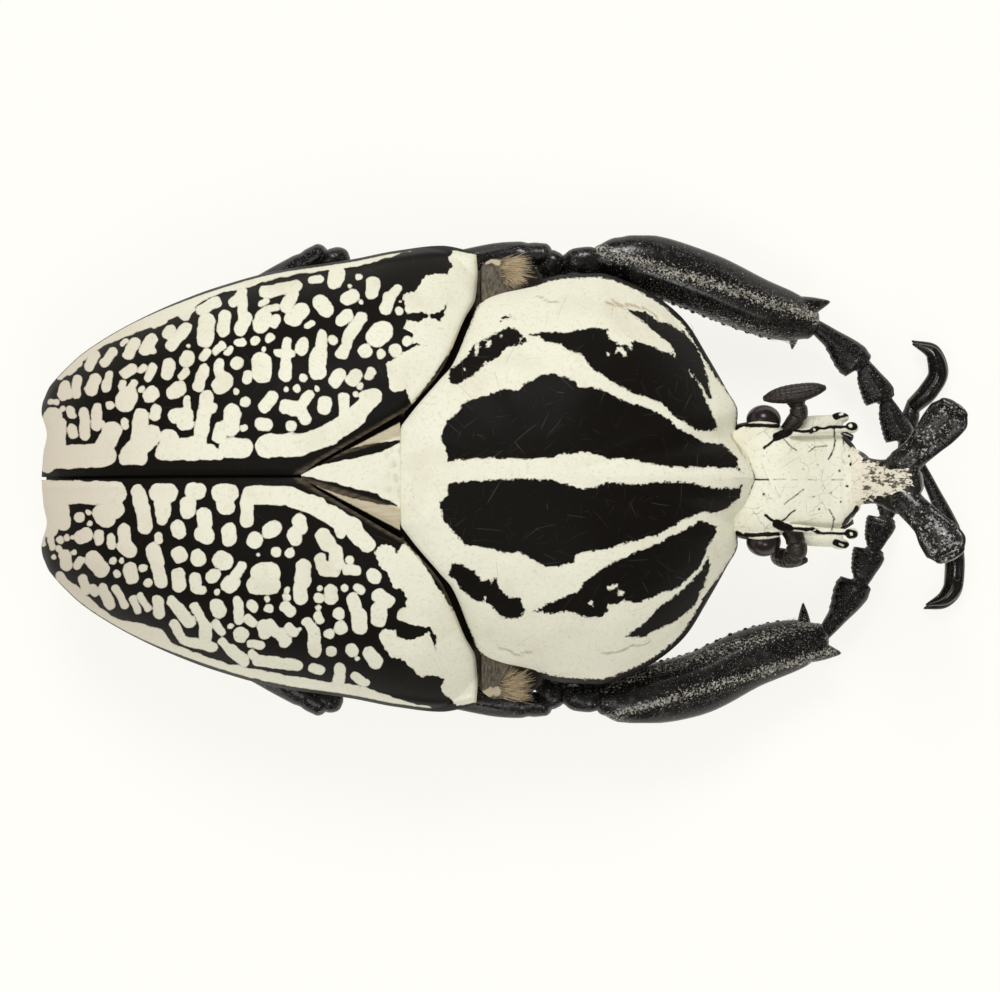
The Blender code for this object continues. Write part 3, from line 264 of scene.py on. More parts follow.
# Cream spots on the wing cases, in plan: (x, y, radius), or both ends of a long spot and its radius.
LEFT_SPOTS = [
    (-45.8, 1.6, -45.2, 6.0, 1.0), (-46.0, 2.0, -40.0, 2.3, 1.15), (-40.3, 2.6, -39.3, 4.7, 0.95),
    (-44.6, 3.0, -44.5, 5.5, 0.6), (-37.5, 2.3, -35.4, 4.3, 1.0), (-36.7, 3.5, -36.4, 6.2, 0.75),
    (-38.0, 2.0, -36.4, 2.0, 0.65), (-34.2, 2.6, -29.6, 2.6, 0.8), (-33.7, 2.8, -33.6, 4.0, 0.9),
    (-33.0, 3.0, -31.0, 3.4, 0.8), (-30.6, 3.4, -29.8, 8.1, 0.68), (-29.6, 7.0, -29.3, 7.0, 0.55),
    (-29.4, 2.5, -28.6, 2.3, 0.5), (-28.6, 4.2, -28.3, 5.0, 0.72), (-27.4, 5.0, -27.3, 6.6, 0.82),
    (-27.6, 3.0, -26.2, 3.0, 0.98), (-23.8, 3.2, -20.5, 3.3, 1.15), (-20.5, 3.3, -17.5, 4.3, 1.0),
    (-17.5, 4.4, -14.8, 6.2, 1.0), (-14.8, 6.5, -13.2, 8.0, 0.85), (-16.1, 6.0, -16.1, 8.0, 0.52),
    (-14.0, 8.2, -12.9, 8.4, 0.55), (-42.0, 4.3, -42.1, 6.5, 0.52), (-40.9, 5.2, -40.8, 7.0, 0.48),
    (-40.3, 5.4, 0.35), (-43.2, 4.4, -43.3, 4.9, 0.5), (-44.3, 6.9, 0.3), (-43.3, 6.3, -43.5, 6.8, 0.4),
    (-45.4, 7.6, 0.3), (-44.9, 7.6, 0.3), (-38.0, 5.2, -38.0, 5.6, 0.38), (-35.0, 6.3, -34.9, 6.8, 0.58),
    (-33.0, 6.2, -31.9, 6.3, 0.72), (-32.3, 5.3, -31.6, 5.4, 0.5), (-31.8, 6.5, -31.8, 7.9, 0.35),
    (-26.9, 8.7, 0.3), (-26.0, 7.6, 0.53), (-26.1, 5.0, 0.36), (-24.4, 5.4, -23.8, 5.3, 0.62),
    (-24.1, 7.1, -23.3, 8.1, 0.58), (-21.4, 5.2, 0.58), (-21.9, 7.1, -20.7, 6.9, 0.72),
    (-20.4, 6.8, -20.0, 5.9, 0.6), (-20.3, 7.4, -19.6, 8.3, 0.52), (-18.1, 7.0, -18.0, 7.5, 0.7),
    (-21.9, 8.9, 0.26), (-20.8, 8.9, 0.38), (-18.8, 8.9, 0.26), (-14.5, 9.2, 0.31), (-14.9, 8.35, 0.32),
    (-44.2, 8.3, -44.0, 9.2, 0.52), (-43.7, 8.3, -43.6, 8.6, 0.38), (-42.9, 8.4, -42.8, 9.8, 0.48),
    (-41.4, 8.8, -41.0, 9.8, 0.6), (-39.9, 9.0, -39.6, 10.3, 0.43), (-39.5, 7.3, 0.4),
    (-38.0, 7.6, -37.7, 8.2, 0.98), (-37.4, 9.0, -37.1, 9.5, 0.38), (-38.4, 9.1, -38.2, 9.5, 0.33),
    (-36.4, 8.8, -36.3, 9.0, 0.24), (-35.5, 8.2, -35.3, 8.5, 0.7), (-33.2, 8.5, -32.6, 9.0, 0.7),
    (-38.0, 10.5, -37.3, 10.9, 0.53), (-36.4, 10.8, -36.1, 11.1, 0.35), (-35.7, 10.0, -35.2, 11.1, 0.4),
    (-33.8, 10.4, -33.6, 11.4, 0.6), (-32.3, 10.2, -31.9, 10.6, 0.4), (-30.7, 9.2, -30.1, 10.8, 0.58),
    (-28.4, 9.3, -28.1, 9.7, 0.93), (-28.6, 10.5, -28.6, 11.5, 0.48), (-26.8, 11.5, 0.66),
    (-25.8, 9.9, -25.7, 10.3, 0.48), (-31.9, 11.7, -31.7, 12.1, 0.66), (-30.2, 12.0, -29.8, 12.6, 0.37),
    (-28.9, 12.7, -28.3, 13.3, 0.4), (-27.8, 12.5, -27.5, 12.9, 0.28), (-31.7, 13.2, 0.18),
    (-26.7, 13.5, -26.3, 13.6, 0.38), (-25.1, 13.6, -24.9, 13.8, 0.38), (-23.7, 13.9, -23.4, 14.1, 0.37),
    (-24.1, 12.9, 0.24), (-40.1, 11.5, -39.2, 12.6, 0.43), (-37.7, 12.3, -37.0, 13.6, 0.52),
    (-36.0, 12.8, -35.3, 13.9, 0.58), (-35.3, 12.8, 0.4), (-38.3, 13.4, -37.9, 13.7, 0.24),
    (-33.4, 13.3, -31.9, 15.0, 0.58), (-33.7, 14.4, -33.5, 14.8, 0.53), (-30.0, 13.9, -29.8, 15.7, 0.83),
    (-28.2, 14.7, -28.0, 16.2, 0.6), (-41.6, 11.2, -41.0, 12.3, 0.5), (-43.6, 10.7, -42.7, 11.5, 0.4),
    (-35.1, 15.4, -34.2, 15.9, 0.45), (-32.1, 16.4, -31.6, 17.0, 0.6), (-30.4, 16.8, -28.9, 17.6, 0.53),
    (-26.5, 14.8, -25.9, 16.0, 0.6), (-26.2, 16.0, -26.3, 18.6, 0.5), (-27.2, 17.5, -26.6, 18.2, 0.43),
    (-24.0, 18.6, -20.9, 19.2, 0.6), (-21.9, 17.1, -21.2, 18.4, 0.6), (-24.4, 17.4, -23.9, 17.7, 0.3),
    (-24.4, 15.3, -24.2, 16.1, 0.82), (-23.9, 16.8, -22.9, 17.1, 0.33), (-23.2, 15.5, -22.9, 15.9, 0.48),
    (-21.2, 16.0, -20.4, 16.7, 0.82), (-19.8, 15.2, -19.3, 15.5, 0.28), (-19.3, 19.8, -18.6, 19.9, 0.38),
    (-17.0, 19.7, -16.8, 20.5, 0.78), (-14.6, 20.15, 0.34), (-15.5, 19.2, 0.2), (-14.4, 17.6, 0.22),
    (-15.8, 18.0, -15.2, 18.2, 0.66), (-13.3, 18.6, -13.2, 19.5, 0.68), (-18.5, 17.6, -17.9, 16.8, 0.75),
    (-11.9, 17.0, -11.6, 18.0, 0.63), (-11.3, 18.3, -10.7, 19.0, 0.43), (-10.6, 16.7, 0.38),
    (-10.5, 17.7, 0.12), (-16.4, 15.7, -15.8, 16.3, 0.58), (-14.4, 16.0, -15.5, 14.4, 0.6),
    (-15.8, 14.2, -15.8, 13.2, 0.48), (-16.1, 12.8, -16.3, 12.5, 0.62), (-12.8, 14.2, -12.3, 14.6, 1.08),
    (-14.0, 12.7, 0.7), (-12.4, 12.4, 0.48), (-11.0, 12.8, 0.63), (-9.8, 13.7, 0.48), (-17.2, 13.8, 0.46),
    (-18.3, 14.3, -18.4, 13.0, 0.53), (-18.8, 11.2, -18.6, 12.4, 0.82), (-18.9, 10.6, -18.6, 10.6, 0.73),
    (-17.0, 9.7, -16.6, 10.3, 0.66), (-15.3, 9.8, -14.9, 10.3, 0.63), (-13.6, 10.2, -13.4, 10.6, 0.48),
    (-22.0, 10.2, -21.9, 11.2, 0.58), (-21.9, 11.5, -21.8, 13.6, 0.48), (-22.7, 12.5, -21.4, 12.4, 0.4),
    (-20.4, 12.8, -20.2, 13.5, 0.56), (-20.2, 10.0, 0.4), (-24.3, 10.5, -24.4, 11.6, 0.98),
]
RIGHT_SPOTS = [
    (-46.0, -1.4, -39.0, -1.5, 1.15), (-45.9, -2.0, -45.6, -5.0, 0.95), (-39.6, -2.0, -38.9, -3.2, 0.85),
    (-40.4, -3.5, -39.9, -4.1, 0.88), (-44.3, -3.0, -44.1, -4.6, 0.68), (-46.3, -5.6, -46.2, -6.5, 0.3),
    (-45.5, -5.2, -45.3, -7.0, 0.3), (-41.65, -3.45, 0.27), (-41.5, -4.55, 0.27), (-42.6, -3.9, 0.5),
    (-36.7, -1.4, -36.3, -3.0, 0.72), (-36.2, -3.2, -36.0, -4.9, 0.72), (-34.7, -1.5, -33.6, -1.5, 0.92),
    (-34.3, -2.6, -34.2, -3.4, 0.78), (-34.3, -4.0, -34.3, -4.2, 0.58), (-31.2, -1.3, -30.7, -1.3, 0.82),
    (-31.7, -2.6, -31.7, -3.3, 0.76), (-28.4, -1.5, -27.6, -1.5, 0.92), (-28.0, -2.4, -27.9, -2.8, 0.88),
    (-25.8, -2.0, -25.8, -4.3, 0.64), (-25.4, -1.7, -21.5, -1.8, 0.92), (-21.3, -2.0, -18.6, -2.9, 0.92),
    (-18.6, -3.0, -15.2, -5.0, 0.92), (-15.0, -5.4, -13.8, -6.6, 0.82), (-16.6, -4.8, -16.4, -5.6, 0.48),
    (-20.6, -4.3, -20.4, -5.0, 0.68), (-21.1, -5.6, -21.0, -6.1, 0.7), (-23.5, -5.3, -23.1, -5.0, 0.78),
    (-25.0, -6.2, 0.82), (-22.9, -7.4, 0.53), (-21.5, -7.5, 0.48), (-24.7, -7.7, 0.2),
    (-24.3, -9.6, -23.6, -9.5, 1.12), (-24.9, -10.7, -23.4, -10.7, 0.93), (-42.4, -5.9, -41.9, -5.7, 0.7),
    (-40.6, -5.6, -40.6, -6.3, 0.43), (-39.4, -6.0, -39.3, -6.7, 0.43), (-38.1, -5.2, -38.0, -6.2, 0.62),
    (-38.0, -6.8, -37.6, -7.2, 0.78), (-35.2, -7.2, -34.8, -8.6, 0.72), (-34.7, -9.0, -34.4, -10.4, 0.62),
    (-34.7, -5.8, -34.6, -6.2, 0.38), (-32.7, -4.9, -32.6, -5.5, 0.68), (-30.1, -3.7, -30.0, -4.6, 0.72),
    (-30.3, -5.6, -29.9, -5.8, 0.82), (-27.6, -5.2, -27.6, -6.1, 0.72), (-32.6, -7.6, -32.5, -7.8, 0.73),
    (-30.7, -7.9, -30.6, -8.1, 0.73), (-28.3, -8.2, -28.1, -8.3, 0.92), (-29.3, -9.9, -29.1, -9.7, 0.63),
    (-26.3, -8.8, -26.9, -9.7, 0.48), (-27.6, -10.7, -27.3, -10.5, 0.78), (-32.7, -9.7, -32.6, -10.7, 0.7),
    (-31.0, -10.0, -30.9, -11.0, 0.58), (-30.3, -11.2, 0.43), (-28.8, -11.4, 0.3), (-44.5, -6.2, 0.37),
    (-43.8, -6.0, 0.28), (-43.2, -5.95, 0.2), (-44.6, -7.1, 0.34), (-44.0, -7.7, -43.9, -8.7, 0.58),
    (-43.1, -7.45, 0.28), (-45.1, -7.9, 0.24), (-42.8, -8.8, -42.4, -8.2, 0.38),
    (-41.2, -8.1, -40.4, -9.1, 0.83), (-39.2, -8.3, 0.37), (-38.8, -9.6, 0.38), (-38.3, -8.3, 0.24),
    (-37.5, -9.1, -37.3, -10.0, 0.68), (-36.2, -9.0, 0.4), (-35.7, -10.5, 0.43),
    (-42.2, -10.1, -41.9, -11.2, 0.48), (-41.3, -11.0, -41.0, -11.5, 0.4),
    (-44.4, -10.1, -43.6, -11.1, 0.48), (-40.2, -11.1, -39.5, -12.7, 0.52),
    (-38.9, -11.1, -38.0, -12.7, 0.4), (-37.2, -12.1, -36.7, -13.3, 0.36),
    (-36.5, -11.8, -35.7, -13.0, 0.34), (-34.7, -12.3, -34.6, -13.5, 0.58),
    (-33.3, -12.3, -32.4, -13.6, 0.48), (-32.6, -13.2, -31.6, -14.4, 0.62),
    (-31.0, -12.9, -29.9, -15.0, 0.48), (-29.9, -15.0, -30.0, -16.5, 0.62),
    (-33.1, -14.6, -32.2, -16.2, 0.43), (-32.0, -16.3, -29.2, -16.9, 0.47),
    (-28.8, -12.8, -28.6, -13.3, 0.73), (-26.7, -12.3, -26.6, -14.2, 0.48),
    (-25.4, -12.7, -25.1, -13.0, 0.48), (-25.7, -14.1, -25.2, -14.5, 0.43),
    (-28.9, -14.6, -28.4, -15.3, 0.46), (-27.4, -14.8, 0.27), (-26.4, -15.7, 0.78),
    (-25.4, -16.6, -24.4, -16.7, 0.38), (-28.3, -16.3, -27.6, -17.2, 0.38),
    (-27.4, -17.2, -26.1, -18.3, 0.57), (-25.3, -17.6, -24.6, -18.2, 0.43),
    (-24.6, -18.3, -20.8, -18.7, 0.57), (-24.2, -14.8, -24.0, -15.5, 0.62),
    (-23.5, -14.6, -22.8, -15.5, 0.53), (-22.5, -15.6, -22.0, -16.3, 0.62),
    (-21.6, -15.0, -21.1, -15.4, 0.48), (-20.5, -15.1, 0.2), (-19.8, -14.4, -19.2, -15.2, 0.48),
    (-19.1, -15.4, -19.0, -17.3, 0.63), (-19.2, -19.0, -18.4, -19.2, 0.43),
    (-20.2, -8.9, -20.2, -10.3, 0.78), (-20.5, -11.0, -20.4, -12.0, 0.68), (-21.8, -11.2, 0.3),
    (-22.0, -11.9, -21.7, -11.9, 0.33), (-23.8, -12.1, 0.27), (-23.6, -13.05, 0.48),
    (-21.9, -12.9, -21.5, -13.3, 0.58), (-18.2, -5.8, -17.7, -6.6, 0.78), (-17.0, -7.3, -16.8, -8.6, 0.72),
    (-18.5, -8.1, -18.4, -8.8, 0.57), (-18.0, -9.1, -17.2, -9.2, 0.73), (-15.5, -8.2, 0.43),
    (-15.7, -9.2, -14.9, -9.2, 0.53), (-13.2, -9.7, -13.0, -9.9, 0.66), (-18.5, -11.0, 0.27),
    (-18.6, -12.0, 0.48), (-18.7, -13.0, 0.27), (-18.7, -13.8, -18.5, -14.2, 0.43),
    (-17.4, -11.3, -17.4, -12.0, 0.66), (-16.0, -11.0, 0.37), (-14.8, -11.0, -14.4, -11.2, 0.43),
    (-15.2, -12.2, -15.0, -12.8, 0.66), (-14.6, -13.7, -14.5, -14.9, 0.76), (-16.6, -13.6, 0.6),
    (-16.4, -15.0, 0.66), (-17.6, -15.6, 0.53), (-12.6, -11.8, -11.8, -12.3, 0.73),
    (-12.6, -13.2, -12.6, -14.1, 0.78), (-17.4, -17.3, 0.53), (-15.4, -17.1, -15.2, -17.3, 0.58),
    (-14.8, -18.1, 0.23), (-13.5, -17.6, -12.9, -18.4, 0.7), (-16.5, -19.1, -16.6, -20.2, 0.58),
    (-15.0, -19.8, -14.0, -20.5, 0.43),
]
# Cream band along each margin: (x, y, half width), and the cream field behind the front edge.
LEFT_BAND = [
    (-44.5, 10.2, 0.4), (-43.0, 11.7, 0.5), (-41.0, 13.3, 0.42), (-39.5, 14.0, 0.45), (-38.0, 14.8, 0.6),
    (-36.5, 15.5, 0.75), (-34.5, 16.4, 0.75), (-32.5, 17.1, 0.8), (-30.5, 18.2, 0.5), (-28.0, 19.1, 0.42),
    (-26.5, 19.4, 0.5), (-24.0, 20.1, 0.4), (-21.0, 20.8, 0.42), (-18.0, 21.2, 0.45), (-15.0, 21.6, 0.45),
    (-13.0, 22.1, 0.38), (-10.6, 22.7, 0.25), (-8.6, 23.1, 0.1),
]
RIGHT_BAND = [
    (-44.6, -9.8, 0.4), (-43.2, -11.3, 0.55), (-41.5, -12.6, 0.4), (-40.3, -13.6, 0.35),
    (-38.5, -14.7, 0.4), (-37.0, -15.2, 0.78), (-35.0, -16.0, 0.98), (-33.2, -17.2, 0.5),
    (-31.0, -17.9, 0.4), (-28.0, -18.9, 0.38), (-25.0, -19.6, 0.45), (-21.5, -20.3, 0.5),
    (-18.0, -20.9, 0.5), (-15.0, -21.3, 0.62), (-12.5, -21.9, 0.42), (-10.0, -22.6, 0.2), (-7.5, -23.0, 0.1),
]
LEFT_FIELD = [
    (-10.3, 18.3), (-9.0, 18.6), (-7.9, 20.3), (-5.8, 20.4), (-5.2, 21.2), (-5.7, 22.1), (-4.6, 23.2),
    (-2.2, 23.2), (-2.2, 18.0), (-3.6, 15.4), (-8.0, 9.1), (-9.3, 7.3), (-9.9, 8.8), (-11.4, 8.6),
    (-11.9, 11.4), (-10.6, 12.3), (-9.0, 13.1), (-7.8, 13.3), (-9.3, 13.5), (-9.2, 14.5), (-10.1, 15.0),
    (-9.9, 15.8), (-8.9, 15.5), (-7.6, 16.1), (-6.6, 15.6), (-6.1, 16.2), (-5.8, 17.5), (-6.5, 16.7),
    (-7.6, 16.3), (-8.5, 16.7), (-9.8, 16.4), (-10.0, 17.4),
]
RIGHT_FIELD = [
    (-13.0, -7.3), (-12.3, -6.7), (-11.3, -6.8), (-10.8, -7.5), (-10.2, -6.6), (-9.9, -6.5), (-8.4, -8.3),
    (-5.6, -12.7), (-3.2, -16.2), (-2.2, -18.0), (-2.2, -23.0), (-4.8, -22.7), (-6.4, -21.2), (-6.0, -20.1),
    (-7.3, -19.6), (-8.4, -19.9), (-10.3, -18.1), (-11.6, -17.8), (-12.6, -15.8), (-12.2, -15.1),
    (-11.0, -15.2), (-10.8, -15.9), (-9.4, -16.3), (-7.6, -15.4), (-7.3, -16.2), (-6.9, -17.4),
    (-6.9, -15.9), (-7.3, -15.0), (-9.6, -14.6), (-10.8, -14.0), (-10.6, -13.2), (-9.9, -12.9),
    (-9.8, -12.1), (-10.2, -11.1), (-11.1, -11.0), (-11.9, -9.3), (-12.6, -8.6),
]

# Black stripes of the shield, in plan, and the cream dots inside them.
SHIELD_STRIPES = [
    [(-6.4, 4.0), (-5.9, 5.7), (-4.6, 6.6), (-4.1, 7.5), (-3.2, 7.9), (-2.0, 8.1), (-1.2, 8.6), (0.2, 8.9),
     (1.4, 8.7), (2.0, 9.5), (2.9, 9.7), (3.5, 10.3), (5.0, 10.5), (6.0, 10.0), (7.0, 9.7), (7.3, 9.0),
     (9.0, 9.05), (10.3, 8.5), (12.0, 7.6), (13.2, 7.4), (15.0, 6.7), (16.5, 5.8), (17.0, 5.2), (18.5, 4.3),
     (20.0, 3.5), (21.5, 3.5), (22.5, 2.7), (23.2, 2.0), (23.3, 1.2), (23.8, 0.45), (23.0, 1.0),
     (20.0, 1.1), (17.0, 1.1), (14.0, 1.5), (12.8, 1.95), (10.3, 1.95), (8.5, 2.6), (6.0, 2.5), (4.8, 2.1),
     (2.0, 1.9), (-1.0, 2.05), (-4.0, 1.9), (-5.7, 1.7), (-5.8, 2.9)],
    [(-5.6, -0.6), (-4.0, -0.4), (-1.0, -0.2), (2.5, -0.1), (4.8, -0.2), (6.5, -0.8), (8.0, -1.15),
     (9.0, -0.9), (10.4, -0.4), (12.5, -0.7), (16.5, -0.4), (18.8, -0.5), (20.2, -1.0), (23.1, -1.1),
     (23.8, -0.5), (23.4, -2.0), (22.0, -3.1), (21.0, -3.5), (20.0, -3.3), (19.0, -3.6), (17.0, -4.7),
     (15.0, -5.8), (12.0, -6.5), (10.0, -7.1), (8.0, -7.4), (7.1, -7.6), (6.9, -8.4), (5.0, -8.9),
     (3.6, -8.7), (2.2, -7.8), (1.5, -7.4), (0.0, -7.5), (-2.0, -6.9), (-4.0, -6.7), (-5.2, -5.3),
     (-6.1, -4.4), (-6.5, -2.4), (-5.8, -1.8)],
    [(2.4, 14.4), (4.5, 14.6), (6.0, 14.5), (8.6, 15.05), (10.2, 14.9), (10.5, 13.9), (11.5, 13.3),
     (12.3, 13.2), (13.0, 13.7), (14.2, 13.4), (15.4, 12.8), (16.5, 12.4), (17.1, 11.9), (16.7, 13.2),
     (15.9, 13.9), (14.7, 14.9), (13.7, 15.8), (12.0, 16.9), (14.0, 16.6), (15.2, 15.8), (16.5, 15.4),
     (17.8, 14.6), (18.9, 13.5), (19.7, 12.0), (20.4, 9.5), (20.7, 8.0), (20.4, 8.0), (19.8, 9.0),
     (19.2, 9.8), (20.0, 8.0), (20.7, 6.4), (21.3, 5.2), (21.2, 4.7), (19.3, 4.8), (17.3, 5.9), (15.5, 7.6),
     (13.8, 8.2), (12.0, 8.9), (10.0, 10.1), (8.5, 11.2), (7.8, 12.3), (6.2, 12.9), (5.3, 13.5),
     (4.0, 13.7), (3.3, 14.2)],
    [(-5.6, 11.0), (-5.5, 9.5), (-4.6, 9.4), (-3.0, 10.4), (-2.0, 11.6), (-0.8, 12.0), (0.2, 13.1),
     (1.2, 13.3), (2.4, 13.7), (1.7, 14.2), (1.3, 14.8), (0.4, 15.15), (-0.6, 14.6), (-1.9, 13.9),
     (-3.0, 13.5), (-4.0, 12.0), (-4.9, 11.1)],
    [(2.8, -13.4), (4.0, -12.7), (5.5, -12.1), (7.5, -11.2), (8.0, -10.4), (9.5, -9.3), (11.0, -8.3),
     (13.0, -7.5), (15.0, -6.7), (16.5, -5.9), (18.3, -5.1), (19.4, -4.3), (21.0, -4.7), (21.2, -5.3),
     (20.4, -6.6), (19.8, -8.1), (19.4, -9.0), (18.2, -10.1), (17.3, -10.9), (15.2, -11.7), (13.0, -12.5),
     (12.0, -12.2), (11.2, -12.5), (10.3, -12.6), (10.3, -13.4), (9.5, -13.9), (8.4, -14.0), (7.3, -13.6),
     (6.2, -13.3), (5.0, -13.6), (3.8, -13.4)],
    [(12.0, -15.9), (13.2, -15.0), (14.2, -14.3), (15.1, -13.2), (16.3, -12.3), (17.4, -11.5),
     (18.4, -10.6), (19.6, -9.3), (20.3, -7.9), (20.6, -8.7), (19.8, -10.8), (19.0, -12.6), (17.9, -13.6),
     (16.5, -14.7), (14.8, -15.3), (14.0, -15.9)],
    [(-5.3, -8.5), (-4.3, -8.7), (-3.1, -9.3), (-2.3, -10.4), (-1.7, -10.1), (-0.8, -10.0), (-0.7, -11.0),
     (0.4, -12.0), (1.5, -12.0), (1.9, -13.2), (1.5, -14.0), (0.0, -14.1), (-0.6, -13.6), (-1.5, -12.6),
     (-2.9, -12.3), (-3.6, -11.8), (-4.6, -10.9), (-4.8, -10.2), (-5.6, -9.7)],
    [(-0.5, 15.5), (-0.2, 15.9), (0.5, 16.0), (0.6, 16.15), (-0.1, 16.2), (-0.4, 15.9)],
]
SHIELD_DOTS = [
    (10.3, 12.4, 0.18), (11.0, 12.6, 0.16), (11.3, 12.9, 11.9, 12.6, 0.26), (12.0, 12.2, 0.2),
    (12.5, 13.0, 0.22), (18.4, 10.6, 0.15), (18.8, 10.2, 0.13), (-2.8, 13.2, 0.32), (-1.7, 13.4, 0.3),
    (-0.4, 14.2, 0.15), (1.6, 13.8, 0.2), (-2.8, 12.5, 0.22), (10.4, -11.0, 11.0, -10.8, 0.25),
    (11.6, -11.5, 0.35), (8.6, -12.55, 0.22), (3.4, -13.1, 0.18), (-1.3, -10.4, 0.2), (-2.0, -12.0, 0.14),
    (-4.0, 10.9, 0.1),
]

# Brown folds in the cream of the shield, in plan, with their half widths, and their least height.
SHIELD_FOLDS_OVER = 15.0
SHIELD_FOLDS = [
    [(10.6, 17.9, 0.03), (11.5, 17.3, 0.1), (12.6, 17.25, 0.06), (13.8, 17.1, 0.07), (14.9, 16.4, 0.04),
     (15.6, 15.6, 0.02)],
    [(10.2, 17.5, 0.1), (11.0, 17.2, 0.06)], [(3.2, 18.2, 0.02), (4.4, 17.6, 0.05), (5.4, 17.7, 0.02)],
    [(-0.6, -17.0, 0.02), (1.2, -17.6, 0.05), (2.8, -17.4, 0.02)],
    [(9.6, -17.6, 0.02), (11.4, -17.4, 0.06), (13.0, -16.7, 0.04), (14.4, -16.5, 0.02)],
    [(22.6, 4.4, 0.02), (23.3, 3.2, 0.05), (24.0, 2.0, 0.02)],
]

# Black stripes of the scutellum, in plan.
SCUTELLUM_STRIPES = [
    [(-20.8, 0.5), (-19.6, 1.5), (-17.6, 2.25), (-15.5, 2.9), (-13.7, 3.4), (-11.3, 3.7), (-10.4, 3.8),
     (-10.5, 3.6), (-11.3, 3.15), (-12.4, 2.6), (-13.7, 2.3), (-15.5, 1.9), (-17.8, 1.45), (-19.2, 1.0),
     (-20.3, 0.5)],
    [(-20.8, 0.3), (-20.2, 0.2), (-19.2, 0.05), (-17.6, -0.4), (-15.2, -1.0), (-14.2, -1.2), (-12.7, -1.7),
     (-11.9, -2.2), (-10.9, -2.65), (-10.8, -2.85), (-12.1, -2.7), (-13.4, -2.4), (-15.2, -2.05),
     (-17.6, -1.25), (-19.2, -0.7), (-20.0, -0.3)],
]

# Dark lines, beads and edges of the head, in plan.
HEAD_LINES = [
    (25.0, -0.15, 26.3, -0.15, 0.08), (25.9, 3.0, 27.2, 4.1, 0.12), (27.2, 4.1, 28.4, 4.7, 0.42),
    (28.4, 4.8, 30.6, 4.65, 0.14), (30.6, 4.65, 31.2, 4.95, 0.2), (31.2, 5.0, 34.6, 5.15, 0.13),
    (34.4, 5.3, 34.8, 5.2, 0.45), (33.1, 6.2, 34.1, 6.5, 0.36), (27.9, 3.8, 29.2, 2.7, 0.05),
    (26.0, -3.7, 27.2, -4.6, 0.12), (27.2, -4.6, 28.4, -5.1, 0.42), (28.4, -5.05, 30.7, -5.1, 0.14),
    (30.7, -5.1, 31.3, -5.45, 0.2), (31.3, -5.5, 34.6, -5.6, 0.13), (34.4, -5.6, 34.8, -5.6, 0.45),
    (33.1, -6.5, 34.1, -6.7, 0.36), (27.7, -4.3, 29.0, -3.2, 0.06), (33.9, 4.1, 35.6, 2.2, 0.2),
    (33.9, -4.7, 35.2, -3.0, 0.2), (25.85, -1.6, 0.14), (31.4, -3.15, 0.1), (27.9, -2.7, 29.9, -1.1, 0.04),
    (24.1, 5.3, 27.3, 5.2, 0.2), (24.1, -5.7, 27.3, -5.6, 0.2), (23.2, 5.0, 24.1, 5.6, 0.2),
    (23.2, -5.5, 24.1, -6.0, 0.2), (32.9, 4.9, 33.0, 3.7, 0.05), (33.0, 3.7, 32.7, 2.4, 0.05),
    (32.7, 2.4, 32.3, 1.9, 0.07), (33.8, 4.6, 33.9, 3.4, 0.04), (32.7, -5.2, 32.9, -4.1, 0.05),
    (32.9, -4.1, 32.5, -3.2, 0.05), (26.8, -0.15, 27.9, -0.15, 0.03), (28.6, -0.2, 29.2, -0.2, 0.025),
    (30.3, -0.2, 31.2, -0.2, 0.025), (32.6, -0.2, 33.9, -0.15, 0.03), (30.3, 2.6, 31.0, 3.1, 0.04),
    (31.0, 3.1, 32.2, 3.25, 0.04), (34.2, -0.8, 0.12), (33.4, 0.7, 0.1), (32.6, -1.5, 0.08),
    (34.6, 1.4, 0.14), (31.3, 1.3, 0.07), (29.9, 0.9, 0.06), (30.9, -1.9, 0.07), (34.4, 2.2, 0.1),
    (33.6, -2.4, 0.1),
]
HEAD_GLINTS = [(30.9, 4.8, 0.11), (34.6, 5.25, 0.2), (33.5, 6.35, 33.8, 6.45, 0.12),
               (31.0, -5.25, 0.11), (34.6, -5.6, 0.2), (33.5, -6.6, 33.8, -6.7, 0.12)]


class Slot(Enum):
    """Material slots of the record."""

    SHELL = "patterned_shell"
    CHITIN = "black_chitin"
    EYE = "eye"
    SETAE = "setae"


class Side(Enum):
    """The two sides of the body, with the sign of their Y."""

    LEFT = 1.0
    RIGHT = -1.0

    @property
    def word(self) -> str:
        """The side's name, as node names spell it."""
        return self.name.lower()


def eased(stations: Sequence[Station], place: Array | float) -> Array:
    """Read a smooth curve through (place, value) stations, without overshoot.

    Args:
        stations: the places, in rising order, and their values.
        place: where to read the curve.

    Returns:
        The values there.
    """
    places, values = (np.array(column, dtype=float) for column in zip(*stations))
    spans = np.diff(places)
    rises = np.diff(values) / spans
    slopes = np.concatenate((rises[:1], np.zeros(len(values) - 2), rises[-1:]))
    before, after = rises[:-1], rises[1:]
    alike = before * after > 0.0
    slopes[1:-1] = np.where(alike, 2.0 * before * after / np.where(alike, before + after, 1.0), 0.0)
    where = np.clip(place, places[0], places[-1])
    index = np.clip(np.searchsorted(places, where, side="right") - 1, 0, len(spans) - 1)
    span = spans[index]
    t = (where - places[index]) / span
    return ((2 * t**3 - 3 * t**2 + 1) * values[index] + (t**3 - 2 * t**2 + t) * span * slopes[index]
            + (3 * t**2 - 2 * t**3) * values[index + 1] + (t**3 - t**2) * span * slopes[index + 1])


def signed_power(value: Array, power: float) -> Array:
    """Raise values to a power and keep their signs."""
    return np.copysign(np.abs(value) ** power, value)


def hump(value: Array, middle: float, width: float) -> Array:
    """A bell of height 1 round a middle, with a width at which it has fallen to 0.37."""
    return np.exp(-(((value - middle) / width) ** 2))


def rise(value: Array, low: float, high: float) -> Array:
    """Go smoothly from 0 at the low value to 1 at the high one."""
    t = np.clip((value - low) / (high - low), 0.0, 1.0)
    return t * t * (3.0 - 2.0 * t)


